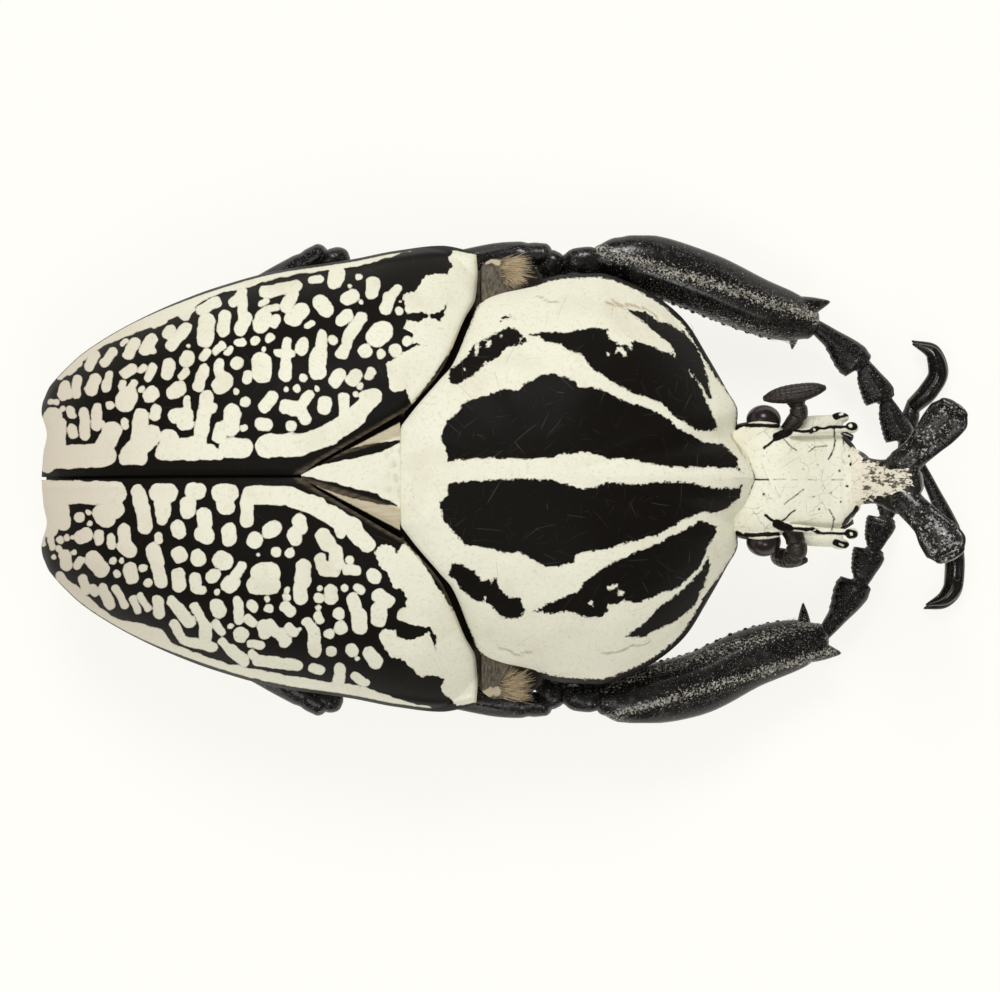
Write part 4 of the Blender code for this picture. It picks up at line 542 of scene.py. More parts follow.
def waves(points: Array, length: float, seed: float = 0.0) -> Array:
    """Smooth irregular values from about -1 to 1 over points.

    Args:
        points: places, one a row, with two or three columns.
        length: the distance over which the values change.
        seed: another pattern for another seed.

    Returns:
        One value a point.
    """
    total = np.zeros(len(points))
    for number in range(5):
        turn = 1.3 + 2.4 * number + seed
        pull = points[:, 0] * math.cos(turn) + points[:, 1] * math.sin(turn)
        if points.shape[1] > 2:
            pull = pull + points[:, 2] * math.cos(1.7 * turn + 1.0)
        total += np.sin(pull * 2.0 * math.pi / (length * (0.8 + 0.13 * number)) + 2.1 * turn)
    return total / 3.0


class Path:
    """A smooth curve through points, read by the share of its length."""

    def __init__(self, points: Sequence[Station]) -> None:
        """Measure the curve through the points."""
        self.points = np.array(points, dtype=float)
        steps = np.linalg.norm(np.diff(self.points, axis=0), axis=1)
        self.length = float(steps.sum())
        self.shares = np.concatenate(([0.0], np.cumsum(steps))) / self.length

    def at(self, share: Array | float) -> Array:
        """Points at shares of the length, one a row."""
        where = np.atleast_1d(share)
        return np.stack([eased(list(zip(self.shares, column)), where) for column in self.points.T], axis=-1)


class Bar:
    """A tapering bar through (x, y, z, half width, half depth) stations."""

    def __init__(self, stations: Sequence[Station], square: float = 1.0) -> None:
        """Measure the bar; a square below 1 gives it a boxier section."""
        self.path = Path([station[:3] for station in stations])
        self.widths = [(share, station[3]) for share, station in zip(self.path.shares, stations)]
        self.depths = [(share, station[4]) for share, station in zip(self.path.shares, stations)]
        self.square = square

    def frames(self, share: Array) -> tuple[Array, Array, Array, Array]:
        """Middles, directions of travel, and the directions to the side and above."""
        step = 0.02
        ahead = self.path.at(np.minimum(share + step, 1.0)) - self.path.at(np.maximum(share - step, 0.0))
        ahead /= np.linalg.norm(ahead, axis=1)[:, None]
        guide = np.where(np.abs(ahead[:, 2:]) < 0.95, (0.0, 0.0, 1.0), (1.0, 0.0, 0.0))
        across = np.cross(ahead, guide)
        across /= np.linalg.norm(across, axis=1)[:, None]
        return self.path.at(share), ahead, across, np.cross(across, ahead)

    def skin(self, share: Array | float, angle: Array | float, out: Array | float = 0.0) -> Array:
        """Points on the surface at angles round the bar, or out from it."""
        where = np.atleast_1d(np.asarray(share, dtype=float))
        middle, _, across, above = self.frames(where)
        wide = (eased(self.widths, where) + out)[:, None]
        deep = (eased(self.depths, where) + out)[:, None]
        turn = np.broadcast_to(np.atleast_1d(angle), where.shape)
        return (middle + across * wide * signed_power(np.cos(turn), self.square)[:, None]
                + above * deep * signed_power(np.sin(turn), self.square)[:, None])


class Sculpt:
    """A mesh in the making: closed forms gathered in one bmesh, in millimetres."""

    def __init__(self) -> None:
        """Start with nothing."""
        self.bm = bmesh.new()

    def add(self, form: bmesh.types.BMesh) -> None:
        """Add a closed form, its faces turned outwards, and free it."""
        if form.calc_volume(signed=True) < 0.0:
            bmesh.ops.reverse_faces(form, faces=form.faces)
        mesh = bpy.data.meshes.new("form")
        form.to_mesh(mesh)
        form.free()
        self.bm.from_mesh(mesh)
        bpy.data.meshes.remove(mesh)

    def wrap(self, rows: int, sides: int, place: Place) -> None:
        """Add a sphere whose rows of vertices are moved.

        Args:
            rows: rows of vertices between the two poles.
            sides: vertices in a row.
            place: gives points for row numbers, where the poles are 0 and rows + 1, and angles.
        """
        form = bmesh.new()
        bmesh.ops.create_uvsphere(form, u_segments=sides, v_segments=rows + 1, radius=1.0)
        points = np.array([vertex.co for vertex in form.verts])
        row = np.rint(np.arccos(np.clip(points[:, 2], -1.0, 1.0)) / math.pi * (rows + 1))
        for vertex, point in zip(form.verts, place(row, np.arctan2(points[:, 1], points[:, 0]))):
            vertex.co = point
        self.add(form)

    def bar(self, stations: Sequence[Station], sides: int = 24, rows: int = 40, square: float = 1.0,
            cap: float = 0.35, relief: Relief | None = None) -> None:
        """Add a bar with rounded ends.

        Args:
            stations: (x, y, z, half width, half depth) along it.
            sides: vertices round it.
            rows: rows of vertices along it.
            square: below 1 for a boxier section.
            cap: length of the rounded ends, as a share of the half depth there.
            relief: height above the plain bar for shares of the length and angles.
        """
        form = Bar(stations, square)
        length = form.path.length
        ends = (max(cap * stations[0][4], 0.02), max(cap * stations[-1][4], 0.02))

        def place(row: Array, angle: Array) -> Array:
            t = row / (rows + 1)
            t = 0.6 * t + 0.4 * (0.5 - 0.5 * np.cos(math.pi * t))
            run = t * (length + ends[0] + ends[1]) - ends[0]
            share = np.clip(run / length, 0.0, 1.0)
            beyond = run - share * length
            closing = np.where(beyond < 0.0, beyond / ends[0], beyond / ends[1])
            shrink = np.sqrt(np.clip(1.0 - closing**2, 0.0, 1.0))[:, None]
            middle, ahead, _, _ = form.frames(share)
            out = relief(share, angle) if relief else 0.0
            return middle + ahead * beyond[:, None] + (form.skin(share, angle, out) - middle) * shrink

        self.wrap(rows, sides, place)

    def ball(self, centre: Station, radii: Station, sides: int = 24, rows: int = 16) -> None:
        """Add an ellipsoid."""
        form = bmesh.new()
        bmesh.ops.create_uvsphere(form, u_segments=sides, v_segments=rows, radius=1.0)
        bmesh.ops.scale(form, vec=Vector(radii), verts=form.verts)
        bmesh.ops.translate(form, vec=Vector(centre), verts=form.verts)
        self.add(form)

    def thorn(self, root: Station, tip: Station, radius: float, bend: Station = (0.0, 0.0, 0.0),
              sides: int = 12) -> None:
        """Add a pointed tooth, curved by a bend in its middle.

        Args:
            root: middle of its foot.
            tip: its point.
            radius: radius of its foot.
            bend: how far its middle stands off the straight line.
            sides: vertices round it.
        """
        start, end, off = np.array(root), np.array(tip), np.array(bend)
        stations = []
        for share, thick in ((0.0, 1.0), (0.3, 0.86), (0.6, 0.6), (0.85, 0.3), (1.0, 0.1)):
            middle = start + (end - start) * share + off * 4.0 * share * (1.0 - share)
            stations.append((*middle, radius * thick, radius * thick))
        self.bar(stations, sides, 14, cap=0.6)

    def item(self, name: str) -> bpy.types.Object:
        """The gathered forms as an object in the scene, still in millimetres."""
        mesh = bpy.data.meshes.new(name)
        self.bm.to_mesh(mesh)
        self.bm.free()
        item = bpy.data.objects.new(name, mesh)
        bpy.context.scene.collection.objects.link(item)
        return item


def applied(item: bpy.types.Object) -> bpy.types.Object:
    """The object with its modifiers applied to its mesh."""
    depsgraph = bpy.context.evaluated_depsgraph_get()
    mesh = bpy.data.meshes.new_from_object(item.evaluated_get(depsgraph))
    item.modifiers.clear()
    item.data = mesh
    return item


def walled(item: bpy.types.Object, thickness: float) -> bpy.types.Object:
    """An open sheet with a wall under it."""
    wall = item.modifiers.new("wall", "SOLIDIFY")
    wall.thickness = thickness
    wall.offset = -1.0
    return applied(item)


def fused(item: bpy.types.Object, grain: float, rounds: int) -> bpy.types.Object:
    """Overlapping forms run together into one smooth skin.

    Args:
        item: the object to change.
        grain: size of the new faces.
        rounds: how often the skin is smoothed.

    Returns:
        The same object.
    """
    remesh = item.modifiers.new("skin", "REMESH")
    remesh.mode = "VOXEL"
    remesh.voxel_size = grain
    smooth = item.modifiers.new("soft", "SMOOTH")
    smooth.factor = 0.5
    smooth.iterations = rounds
    return applied(item)


def places(mesh: bpy.types.Mesh) -> Array:
    """The places of a mesh's vertices, one a row."""
    values = np.empty(len(mesh.vertices) * 3, dtype=np.float32)
    mesh.vertices.foreach_get("co", values)
    return values.reshape(-1, 3).astype(float)


def put(item: bpy.types.Object, points: Array) -> None:
    """Give an object's vertices new places."""
    item.data.vertices.foreach_set("co", points.astype(np.float32).ravel())
    item.data.update()


def finish_piece(item: bpy.types.Object, slot: Slot, material: bpy.types.Material, *nodes: str,
                 marks: Read | None = None, tones: Read | None = None) -> bpy.types.Object:
    """Keep a shaped object in the solids' box, scale it to metres, dress it and tell what it stands for.

    Args:
        item: the object, in millimetres.
        slot: the slot that its finish comes from; not used.
        material: its material.
        nodes: the nodes that it replaces.
        marks: gives the distance inside the cream areas for points, negative in the black.
        tones: gives the share of brown for points, or on black chitin the density of the pale specks painted
            as highlights.

    Returns:
        The object.
    """
    item.name = (nodes[0] if nodes else item.name) + "_skin"
    mesh = item.data
    for title, read in (("mark", marks), ("tone", tones)):
        if read is not None:
            values = read(places(mesh)).astype(np.float32)
            mesh.attributes.new(title, "FLOAT", "POINT").data.foreach_set("value", values)
    low, high = (np.array(corner) / METRES for corner in CAD_BOX)
    put(item, np.clip(places(mesh), low + BOX_MARGIN, high - BOX_MARGIN))
    mesh.transform(Matrix.Scale(METRES, 4))
    mesh.shade_smooth()
    mesh.set_sharp_from_angle(angle=SHARP_OVER)
    mesh.materials.clear()
    mesh.materials.append(material)
    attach(item, BODY)
    if nodes:
        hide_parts(*nodes)
    mesh.calc_loop_triangles()
    LOG.info("%s: %d triangles", item.name, len(mesh.loop_triangles))
    return item


def plan(points: Array) -> Array:
    """Where points of the surface show in plan, on the plane of the camera's target."""
    x, y, z = points.T
    over = z - CAMERA_TARGET[2]
    near = 1.0 - over / CAMERA_RANGE
    lean = over / math.tan(CAMERA_ELEVATION)
    return np.stack((CAMERA_TARGET[0] + (x - CAMERA_TARGET[0]) / near,
                     CAMERA_TARGET[1] + (y - CAMERA_TARGET[1] + lean) / near), axis=-1)


def wavered(points: Array, far: float = 0.06) -> Array:
    """Points of the plan moved a little, so that no outline is too regular."""
    shift = np.stack((waves(points, 1.7, 0.4) + 0.5 * waves(points, 0.7, 2.0),
                      waves(points, 1.5, 1.1) + 0.5 * waves(points, 0.8, 3.0)), axis=-1)
    return points + shift * far


def to_line(points: Array, start: Station, end: Station) -> tuple[Array, Array]:
    """Distances to a straight line between two points, and the shares of its length there."""
    first = np.array(start)
    span = np.array(end) - first
    share = np.clip((points - first) @ span / max(float(span @ span), 1e-9), 0.0, 1.0)
    return np.linalg.norm(points - first - share[:, None] * span, axis=1), share


def joined(first: Array, second: Array, soft: float = 0.08) -> Array:
    """The union of two areas given by the distances inside them, with a soft join."""
    share = np.clip(0.5 + 0.5 * (second - first) / soft, 0.0, 1.0)
    return second * share + first * (1.0 - share) + soft * share * (1.0 - share)


def in_spots(points: Array, spots: Sequence[Station]) -> Array:
    """Distances inside round and long spots."""
    total = np.full(len(points), -9.0)
    for spot in spots:
        start, end = spot[:2], spot[-3:-1]
        away, _ = to_line(points, start, end if len(spot) > 3 else start)
        total = joined(total, spot[-1] - away)
    return total


def in_band(points: Array, chain: Sequence[Station]) -> Array:
    """Distances inside a band of changing width."""
    total = np.full(len(points), -9.0)
    for before, after in zip(chain, chain[1:]):
        away, share = to_line(points, before[:2], after[:2])
        total = joined(total, before[2] + (after[2] - before[2]) * share - away)
    return total


def in_area(points: Array, outline: Sequence[Station]) -> Array:
    """Distances inside an outline, negative outside it."""
    away = np.full(len(points), 99.0)
    inside = np.zeros(len(points), dtype=bool)
    for start, end in zip(outline, list(outline[1:]) + [outline[0]]):
        away = np.minimum(away, to_line(points, start, end)[0])
        crosses = (start[1] > points[:, 1]) != (end[1] > points[:, 1])
        slope = (end[0] - start[0]) / ((end[1] - start[1]) or 1e-9)
        inside ^= crosses & (points[:, 0] < start[0] + (points[:, 1] - start[1]) * slope)
    return np.where(inside, away, -away)


class Graph:
    """Short ways to lay nodes in a tree."""

    def __init__(self, tree: bpy.types.NodeTree) -> None:
        """Work in a tree."""
        self.tree = tree

    def node(self, kind: str, values: dict | None = None, **settings: object) -> bpy.types.Node:
        """Add a node.

        Args:
            kind: its type.
            values: a number, colour or socket for each of its inputs that is fed.
            settings: its properties.

        Returns:
            The node.
        """
        made = self.tree.nodes.new(kind)
        for key, value in settings.items():
            setattr(made, key, value)
        for key, value in (values or {}).items():
            self.feed(made, key, value)
        return made

    def feed(self, node: bpy.types.Node, key: int | str, value: object) -> None:
        """Link a socket to an input, or set the input to a value."""
        if isinstance(value, bpy.types.NodeSocket):
            self.tree.links.new(value, node.inputs[key])
        else:
            node.inputs[key].default_value = value

    def maths(self, operation: str, *values: object) -> Socket:
        """The result of one operation of arithmetic."""
        return self.node("ShaderNodeMath", dict(enumerate(values)), operation=operation).outputs[0]

    def plus(self, first: object, second: object) -> Socket:
        """Two values added."""
        return self.maths("ADD", first, second)

    def minus(self, first: object, second: object) -> Socket:
        """A value less another."""
        return self.maths("SUBTRACT", first, second)

    def times(self, first: object, second: object) -> Socket:
        """Two values multiplied."""
        return self.maths("MULTIPLY", first, second)

    def most(self, first: object, second: object) -> Socket:
        """The greater of two values."""
        return self.maths("MAXIMUM", first, second)

    def vector(self, operation: str, first: object, second: object) -> Socket:
        """The result of one operation on two vectors, or on a vector and the scale it is multiplied by."""
        key = "Scale" if operation == "SCALE" else 1
        return self.node("ShaderNodeVectorMath", {0: first, key: second}, operation=operation).outputs[0]

    def split(self, vector: Socket) -> Sequence[Socket]:
        """The X, Y and Z of a vector."""
        return self.node("ShaderNodeSeparateXYZ", {0: vector}).outputs

    def attribute(self, name: str) -> Socket:
        """A value that the mesh carries."""
        return self.node("ShaderNodeAttribute", attribute_name=name).outputs["Fac"]

    def mix(self, share: object, first: object, second: object) -> Socket:
        """A colour between two, each a socket or three numbers, by a share."""
        first, second = (rgba(end) if isinstance(end, tuple) else end for end in (first, second))
        return self.node("ShaderNodeMix", {0: share, 6: first, 7: second}, data_type="RGBA").outputs[2]

    def step(self, value: object, low: float, high: float, start: float = 0.0, end: float = 1.0) -> Socket:
        """A smooth step from a start to an end while a value goes from low to high."""
        values = {"Value": value, "From Min": low, "From Max": high, "To Min": start, "To Max": end}
        return self.node("ShaderNodeMapRange", values, interpolation_type="SMOOTHSTEP").outputs[0]

    def noise(self, vector: object, scale: float, detail: float = 2.0, rough: float = 0.5) -> Socket:
        """Soft noise from 0 to 1; the scale counts its waves in a millimetre."""
        values = {"Vector": vector, "Scale": scale, "Detail": detail, "Roughness": rough}
        return self.node("ShaderNodeTexNoise", values).outputs["Fac"]

    def cells(self, vector: object, scale: object, feature: str = "F1") -> Socket:
        """Distance in random cells."""
        values = {"Vector": vector, "Scale": scale}
        return self.node("ShaderNodeTexVoronoi", values, feature=feature).outputs["Distance"]

    def stretched(self, vector: object, scale: Station) -> Socket:
        """Coordinates stretched along the axes."""
        return self.node("ShaderNodeMapping", {"Vector": vector, "Scale": scale}).outputs[0]

    def masked(self, effect: "Effect", place: Socket, size: float) -> Socket:
        """The mask of an effect's group, placed in this tree."""
        values = {"Place": place, "Size": size}
        return self.node("ShaderNodeGroup", values, node_tree=effect_group(effect)).outputs["Mask"]


class Effect(Enum):
    """Surface effects that several finishes share."""

    PITS = "pits"
    SCRATCHES = "scratches"
    CRACKS = "cracks"


def pits(graph: Graph, place: Socket) -> Socket:
    """Round pits of different reach, deepest in their middles."""
    near = graph.cells(place, 1.0)
    reach = graph.step(graph.noise(place, 0.3), 0.3, 0.7, 0.3, 0.5)
    return graph.most(graph.minus(1.0, graph.maths("DIVIDE", near, reach)), 0.0)


def scratch(graph: Graph, place: Socket, gain: float) -> Socket:
    """One short bent scratch in each cell, turned at random and left out of some."""
    cell = graph.node("ShaderNodeTexVoronoi", {"Vector": place, "Scale": 1.0}).outputs
    dx, dy, _ = graph.split(graph.vector("SUBTRACT", place, cell["Position"]))
    turn, bend, luck = graph.split(cell["Color"])
    turn = graph.times(turn, 2.0 * math.pi)
    cosine, sine = graph.maths("COSINE", turn), graph.maths("SINE", turn)
    along = graph.plus(graph.times(dx, cosine), graph.times(dy, sine))
    aside = graph.minus(graph.times(dy, cosine), graph.times(dx, sine))
    curve = graph.times(graph.times(along, along), graph.step(bend, 0.0, 1.0, -0.15, 0.15))
    thin = graph.step(graph.maths("ABSOLUTE", graph.plus(aside, curve)), 0.002, 0.011, gain, 0.0)
    short = graph.step(graph.maths("ABSOLUTE", along), 0.2, 0.5, 1.0, 0.0)
    return graph.times(thin, graph.times(short, graph.step(luck, 0.35, 0.75)))


def scratches(graph: Graph, place: Socket) -> Socket:
    """Scratches of two sizes that gather in places."""
    mask = 0.0
    for fine, gain in ((1.0, 1.0), (1.9, 0.7)):
        mask = graph.most(mask, scratch(graph, graph.vector("SCALE", place, fine), gain))
    return graph.times(mask, graph.step(graph.noise(place, 0.45), 0.4, 0.6, 0.15, 1.0))


def cracks(graph: Graph, place: Socket) -> Socket:
    """A broken net of fine bent cracks."""
    drift = graph.node("ShaderNodeTexNoise", {"Vector": place, "Scale": 1.2, "Detail": 3.0}).outputs["Color"]
    bent = graph.vector("SCALE", drift, 0.6)
    edges = graph.cells(graph.vector("ADD", bent, place), 0.6, "DISTANCE_TO_EDGE")
    broken = graph.step(graph.noise(place, 0.45), 0.5, 0.62)
    return graph.times(graph.step(edges, 0.0, 0.022, 1.0, 0.0), broken)


def effect_group(effect: Effect) -> bpy.types.NodeTree:
    """The node group of an effect, built once.

    Args:
        effect: the effect; each takes a place in millimetres and a size, and gives a mask.

    Returns:
        The group.
    """
    known = bpy.data.node_groups.get(effect.value)
    if known:
        return known
    tree = bpy.data.node_groups.new(effect.value, "ShaderNodeTree")
    tree.interface.new_socket("Place", in_out="INPUT", socket_type="NodeSocketVector")
    tree.interface.new_socket("Size", in_out="INPUT", socket_type="NodeSocketFloat")
    tree.interface.new_socket("Mask", in_out="OUTPUT", socket_type="NodeSocketFloat")
    graph = Graph(tree)
    given = graph.node("NodeGroupInput").outputs
    draw = {Effect.PITS: pits, Effect.SCRATCHES: scratches, Effect.CRACKS: cracks}[effect]
    mask = draw(graph, graph.vector("SCALE", given["Place"], given["Size"]))
    graph.node("NodeGroupOutput", {"Mask": mask})
    return tree


def rgba(colour: Station) -> Station:
    """A colour with full alpha."""
    return (*colour, 1.0)


def started(name: str) -> tuple[Graph, Socket]:
    """A new material.

    Args:
        name: its name.

    Returns:
        Its graph, and the place on the object in millimetres.
    """
    material = bpy.data.materials.new(name)
    material.use_nodes = True
    graph = Graph(material.node_tree)
    spot = graph.node("ShaderNodeTexCoord").outputs["Object"]
    return graph, graph.vector("SCALE", spot, 1.0 / METRES)


def ended(name: str, graph: Graph, values: dict, height: Socket | None = None,
          deep: float = 0.0) -> bpy.types.Material:
    """Feed a material's shader.

    Args:
        name: the material's name.
        graph: its graph.
        values: what the shader's inputs are given.
        height: its relief, from 0 to 1.
        deep: how deep that relief is, in millimetres.

    Returns:
        The material.
    """
    shader = graph.tree.nodes["Principled BSDF"]
    for key, value in values.items():
        graph.feed(shader, key, value)
    if height:
        bump = graph.node("ShaderNodeBump", {"Height": height, "Distance": deep * METRES, "Strength": 1.0})
        graph.feed(shader, "Normal", bump.outputs[0])
    return bpy.data.materials[name]


@dataclass(frozen=True)
class ShellFinish:
    """Velvety cream and black, with scratches in the black and fine dark lines in the cream."""

    name: str
    cream: Station = (0.855, 0.842, 0.683)
    stain: Station = (0.77, 0.735, 0.58)
    rear: Station = (0.66, 0.59, 0.475)
    tan: Station = (0.47, 0.39, 0.25)
    black: Station = (0.0068, 0.0052, 0.0034)
    brown: Station = (0.11, 0.084, 0.054)
    scratch: Station = (0.19, 0.17, 0.135)
    crack: Station = (0.16, 0.115, 0.075)
    grime: Station = (0.56, 0.51, 0.37)
    ragged: float = 0.035
    grain: float = 5.0
    scratched: float = 0.3
    cracked: float = 0.1
    lined: float = 0.25
    specked: float = 0.3
    fibres: Station = (0.6, 2.5, 1.0)
    streaks: Station = (0.5, 4.0, 1.0)
    scratch_sizes: tuple[float, float] = (0.3, 0.42)
    scratch_shift: Station = (31.0, 17.0, 5.0)
    dull_behind: tuple[float, float] = (-27.0, -47.0)
    relief: float = 0.05

    def pale(self, graph: Graph, place: Socket, mark: Socket, tone: Socket) -> Socket:
        """The colour of the cream areas, duller towards the rear, with stains, lines and a dark outline."""
        stains = graph.step(graph.noise(place, 0.16, 4.0, 0.6), 0.45, 0.75)
        mottle = graph.step(graph.noise(place, 3.2, 5.0, 0.75), 0.45, 0.8, 0.0, 0.7)
        fine = graph.step(graph.noise(place, 2.6, 4.0, 0.75), 0.52, 0.72, 0.0, 0.5)
        behind = graph.step(graph.split(place)["X"], *self.dull_behind, 0.0, 0.95)
        net = graph.times(graph.masked(Effect.CRACKS, place, 1.0), self.cracked)
        lines = graph.times(graph.masked(Effect.SCRATCHES, place, self.scratch_sizes[0]), self.lined)
        specks = graph.step(graph.cells(place, 1.7), 0.12, 0.05, 0.0, self.specked)
        streak = graph.noise(graph.stretched(place, self.streaks), 1.2, 4.0, 0.6)
        streak = graph.step(streak, 0.3, 0.8, 0.7, 1.0)
        outline = graph.step(mark, 0.0, 0.12, 0.35, 0.0)
        pale = self.cream
        for share, colour in (
                (graph.most(stains, mottle), self.stain), (fine, self.grime), (behind, self.rear),
                (net, self.crack), (lines, self.crack), (specks, self.crack),
                (graph.times(tone, streak), self.tan), (outline, self.crack)):
            pale = graph.mix(share, pale, colour)
        return pale

    def dark(self, graph: Graph, place: Socket, tone: Socket) -> Socket:
        """The colour of the black areas, with brown fibres and scratches."""
        fibre = graph.noise(graph.stretched(place, self.fibres), 1.5, 4.0, 0.7)
        fibre = graph.times(tone, graph.step(fibre, 0.35, 0.65, 0.3, 1.0))
        shifted = graph.vector("ADD", place, self.scratch_shift)
        first, second = (graph.masked(Effect.SCRATCHES, spot, size)
                         for spot, size in zip((place, shifted), self.scratch_sizes))
        marks = graph.times(graph.most(first, second), self.scratched)
        return graph.mix(marks, graph.mix(fibre, self.black, self.brown), self.scratch)

    def material(self) -> bpy.types.Material:
        """Build the material."""
        graph, place = started(self.name)
        tone = graph.attribute("tone")
        fray = graph.minus(graph.noise(place, self.grain, 5.0, 0.7), 0.5)
        mark = graph.plus(graph.attribute("mark"), graph.times(fray, self.ragged * 4.0))
        cream = graph.step(mark, -0.03, 0.03)
        colour = graph.mix(cream, self.dark(graph, place, tone), self.pale(graph, place, mark, tone))
        grain = graph.times(graph.noise(place, 9.0, 4.0, 0.7), 0.16)
        rough = graph.plus(graph.step(cream, 0.0, 1.0, 0.42, 0.4), grain)
        swell = graph.times(graph.noise(place, 1.1, 2.0), 0.4)
        height = graph.plus(graph.plus(grain, graph.times(cream, 0.3)), swell)
        return ended(self.name, graph, {"Base Color": colour, "Roughness": rough, "Specular IOR Level": 0.09},
                     height, self.relief)


@dataclass(frozen=True)
class StemFinish:
    """Cream of the horn's stem, broken by cracked black blotches that close up towards the fork."""

    name: str
    cream: Station = (0.8, 0.74, 0.59)
    black: Station = (0.012, 0.009, 0.006)
    fleck: Station = (0.06, 0.042, 0.022)
    blotches: Station = (0.8, 1.6, 1.0)
    blotched: float = 4.5
    flecks: Station = (0.6, 1.6, 1.0)
    fleck_start: tuple[float, float] = (34.9, 36.2)
    relief: float = 0.07

    def material(self) -> bpy.types.Material:
        """Build the material."""
        graph, place = started(self.name)
        blotch = graph.minus(graph.noise(graph.stretched(place, self.blotches), 1.3, 5.0, 0.68), 0.5)
        mark = graph.plus(graph.attribute("mark"), graph.times(blotch, self.blotched))
        whole = graph.minus(1.0, graph.masked(Effect.CRACKS, place, 1.7))
        cream = graph.times(graph.step(mark, -0.06, 0.06), whole)
        start = graph.step(graph.split(place)["X"], *self.fleck_start, -0.16, 0.0)
        drift = graph.plus(graph.noise(graph.stretched(place, self.flecks), 1.3, 5.0, 0.72), start)
        flecked = graph.mix(graph.step(drift, 0.51, 0.56, 0.0, 0.95), self.cream, self.fleck)
        height = graph.minus(graph.times(cream, 0.5), graph.times(graph.masked(Effect.PITS, place, 3.0), 0.7))
        return ended(self.name, graph, {"Base Color": graph.mix(cream, self.black, flecked),
                                        "Roughness": graph.step(cream, 0.0, 1.0, 0.3, 0.42)}, height,
                                                self.relief)


@dataclass(frozen=True)
class ChitinFinish:
    """Glossy black horn with punctures and pale specks painted in as highlights, worn to a dull grey in
    places.
    """

    name: str
    black: Station = (0.0045, 0.0038, 0.0028)
    worn: Station = (0.02, 0.017, 0.012)
    roughness: float = 0.24
    pit_size: float = 4.4
    pit_depth: float = 0.06
    fine: float = 0.1
    painted_highlight: Station = (0.47, 0.44, 0.37)
    sparse_highlights: float = 0.05
    speck_size: float = 4.6
    specular: float = 0.6

    def material(self) -> bpy.types.Material:
        """Build the material."""
        graph, place = started(self.name)
        wear = graph.step(graph.noise(place, 0.5, 5.0, 0.65), 0.45, 0.75)
        # Painted highlights: pale specks standing in for the glints of the punctures, denser where the tone
        # attribute says.
        dense = graph.times(graph.plus(graph.attribute("tone"), self.sparse_highlights), 0.2)
        highlight_speck = graph.step(graph.plus(graph.noise(place, self.speck_size, 2.0, 0.6), dense), 0.67, 0.75)
        highlight_speck = graph.times(highlight_speck, graph.step(graph.noise(place, 1.7, 2.0), 0.35, 0.65, 0.35, 1.0))
        colour = graph.mix(highlight_speck, graph.mix(wear, self.black, self.worn), self.painted_highlight)
        rough = graph.plus(graph.times(wear, 0.12), self.roughness)
        lines = graph.times(graph.noise(place, 3.0, 3.0, 0.6), self.fine)
        height = graph.minus(lines, graph.masked(Effect.PITS, place, self.pit_size))
        return ended(self.name, graph, {"Base Color": colour, "Roughness": rough,
                                        "Specular IOR Level": self.specular}, height, self.pit_depth)


@dataclass(frozen=True)
class EyeFinish:
    """Dark eye of many facets."""

    name: str
    colour: Station = (0.005, 0.004, 0.003)
    sheen: Station = (0.014, 0.01, 0.007)
    facet_size: float = 7.0
    relief: float = 0.02

    def material(self) -> bpy.types.Material:
        """Build the material."""
        graph, place = started(self.name)
        facets = graph.cells(place, self.facet_size)
        tone = graph.step(graph.noise(place, 0.8), 0.35, 0.7)
        return ended(self.name, graph, {"Base Color": graph.mix(tone, self.colour, self.sheen),
                                        "Roughness": graph.step(facets, 0.0, 0.5, 0.12, 0.3)},
                     graph.times(facets, -1.0), self.relief)


@dataclass(frozen=True)
class ClubFinish:
    """Leaves of the feelers: dark brown, orange-brown where the light reaches the down between them."""

    name: str
    dark: Station = (0.014, 0.011, 0.007)
    glow: Station = (0.1, 0.05, 0.025)
    fibres: Station = (1.0, 4.0, 2.0)
    relief: float = 0.04

    def material(self) -> bpy.types.Material:
        """Build the material."""
        graph, place = started(self.name)
        down = graph.step(graph.noise(graph.stretched(place, self.fibres), 1.6, 4.0, 0.7), 0.5, 0.78)
        return ended(self.name, graph, {"Base Color": graph.mix(down, self.dark, self.glow),
                                        "Roughness": graph.step(down, 0.0, 1.0, 0.26, 0.6)},
                     graph.noise(place, 8.0, 3.0, 0.7), self.relief)


@dataclass(frozen=True)
class HairFinish:
    """Hair that goes from a brown root to a golden point."""

    name: str
    root: Station = (0.13, 0.08, 0.037)
    point: Station = (0.83, 0.67, 0.42)

    def material(self) -> bpy.types.Material:
        """Build the material."""
        graph, place = started(self.name)
        tone = graph.noise(place, 1.3, 3.0, 0.6)
        light = graph.step(graph.plus(graph.times(tone, 0.6), graph.attribute("share")), 0.1, 1.1)
        return ended(self.name, graph, {"Base Color": graph.mix(light, self.root, self.point),
                                        "Roughness": graph.step(tone, 0.2, 0.8, 0.35, 0.6)})


def back_height(x: Array, y: Array) -> Array:
    """Height of the arched back over points of the plan."""
    margin, back = eased(ELYTRA_MARGIN, x), eased(ELYTRA_BACK, x)
    reach = np.minimum(np.abs(y) / (eased(ELYTRA_WIDTH, x) + 0.02), 1.0)
    return margin + (back - margin) * (1.0 - reach**2.5) ** 0.62


def shell_height(x: Array, y: Array) -> Array:
    """Height of the wing cases, which fall away towards the shoulders in front."""
    front = np.clip((x + 12.0) / 9.3, 0.0, 1.0) ** 2
    aside = np.minimum(np.abs(y) / 18.0, 1.0)
    margin = eased(ELYTRA_MARGIN, x)
    height = back_height(x, y)
    return np.maximum(height - SHOULDER_DROP * front * aside, margin + (height - margin) * 0.45)


def mirrored(points: Sequence[Station], sign: float, middle: float = 0.0) -> list[Station]:
    """Points of the left side taken to a side of the body, or of a part with another middle line."""
    return [(point[0], point[1] * sign + middle, *point[2:]) for point in points]


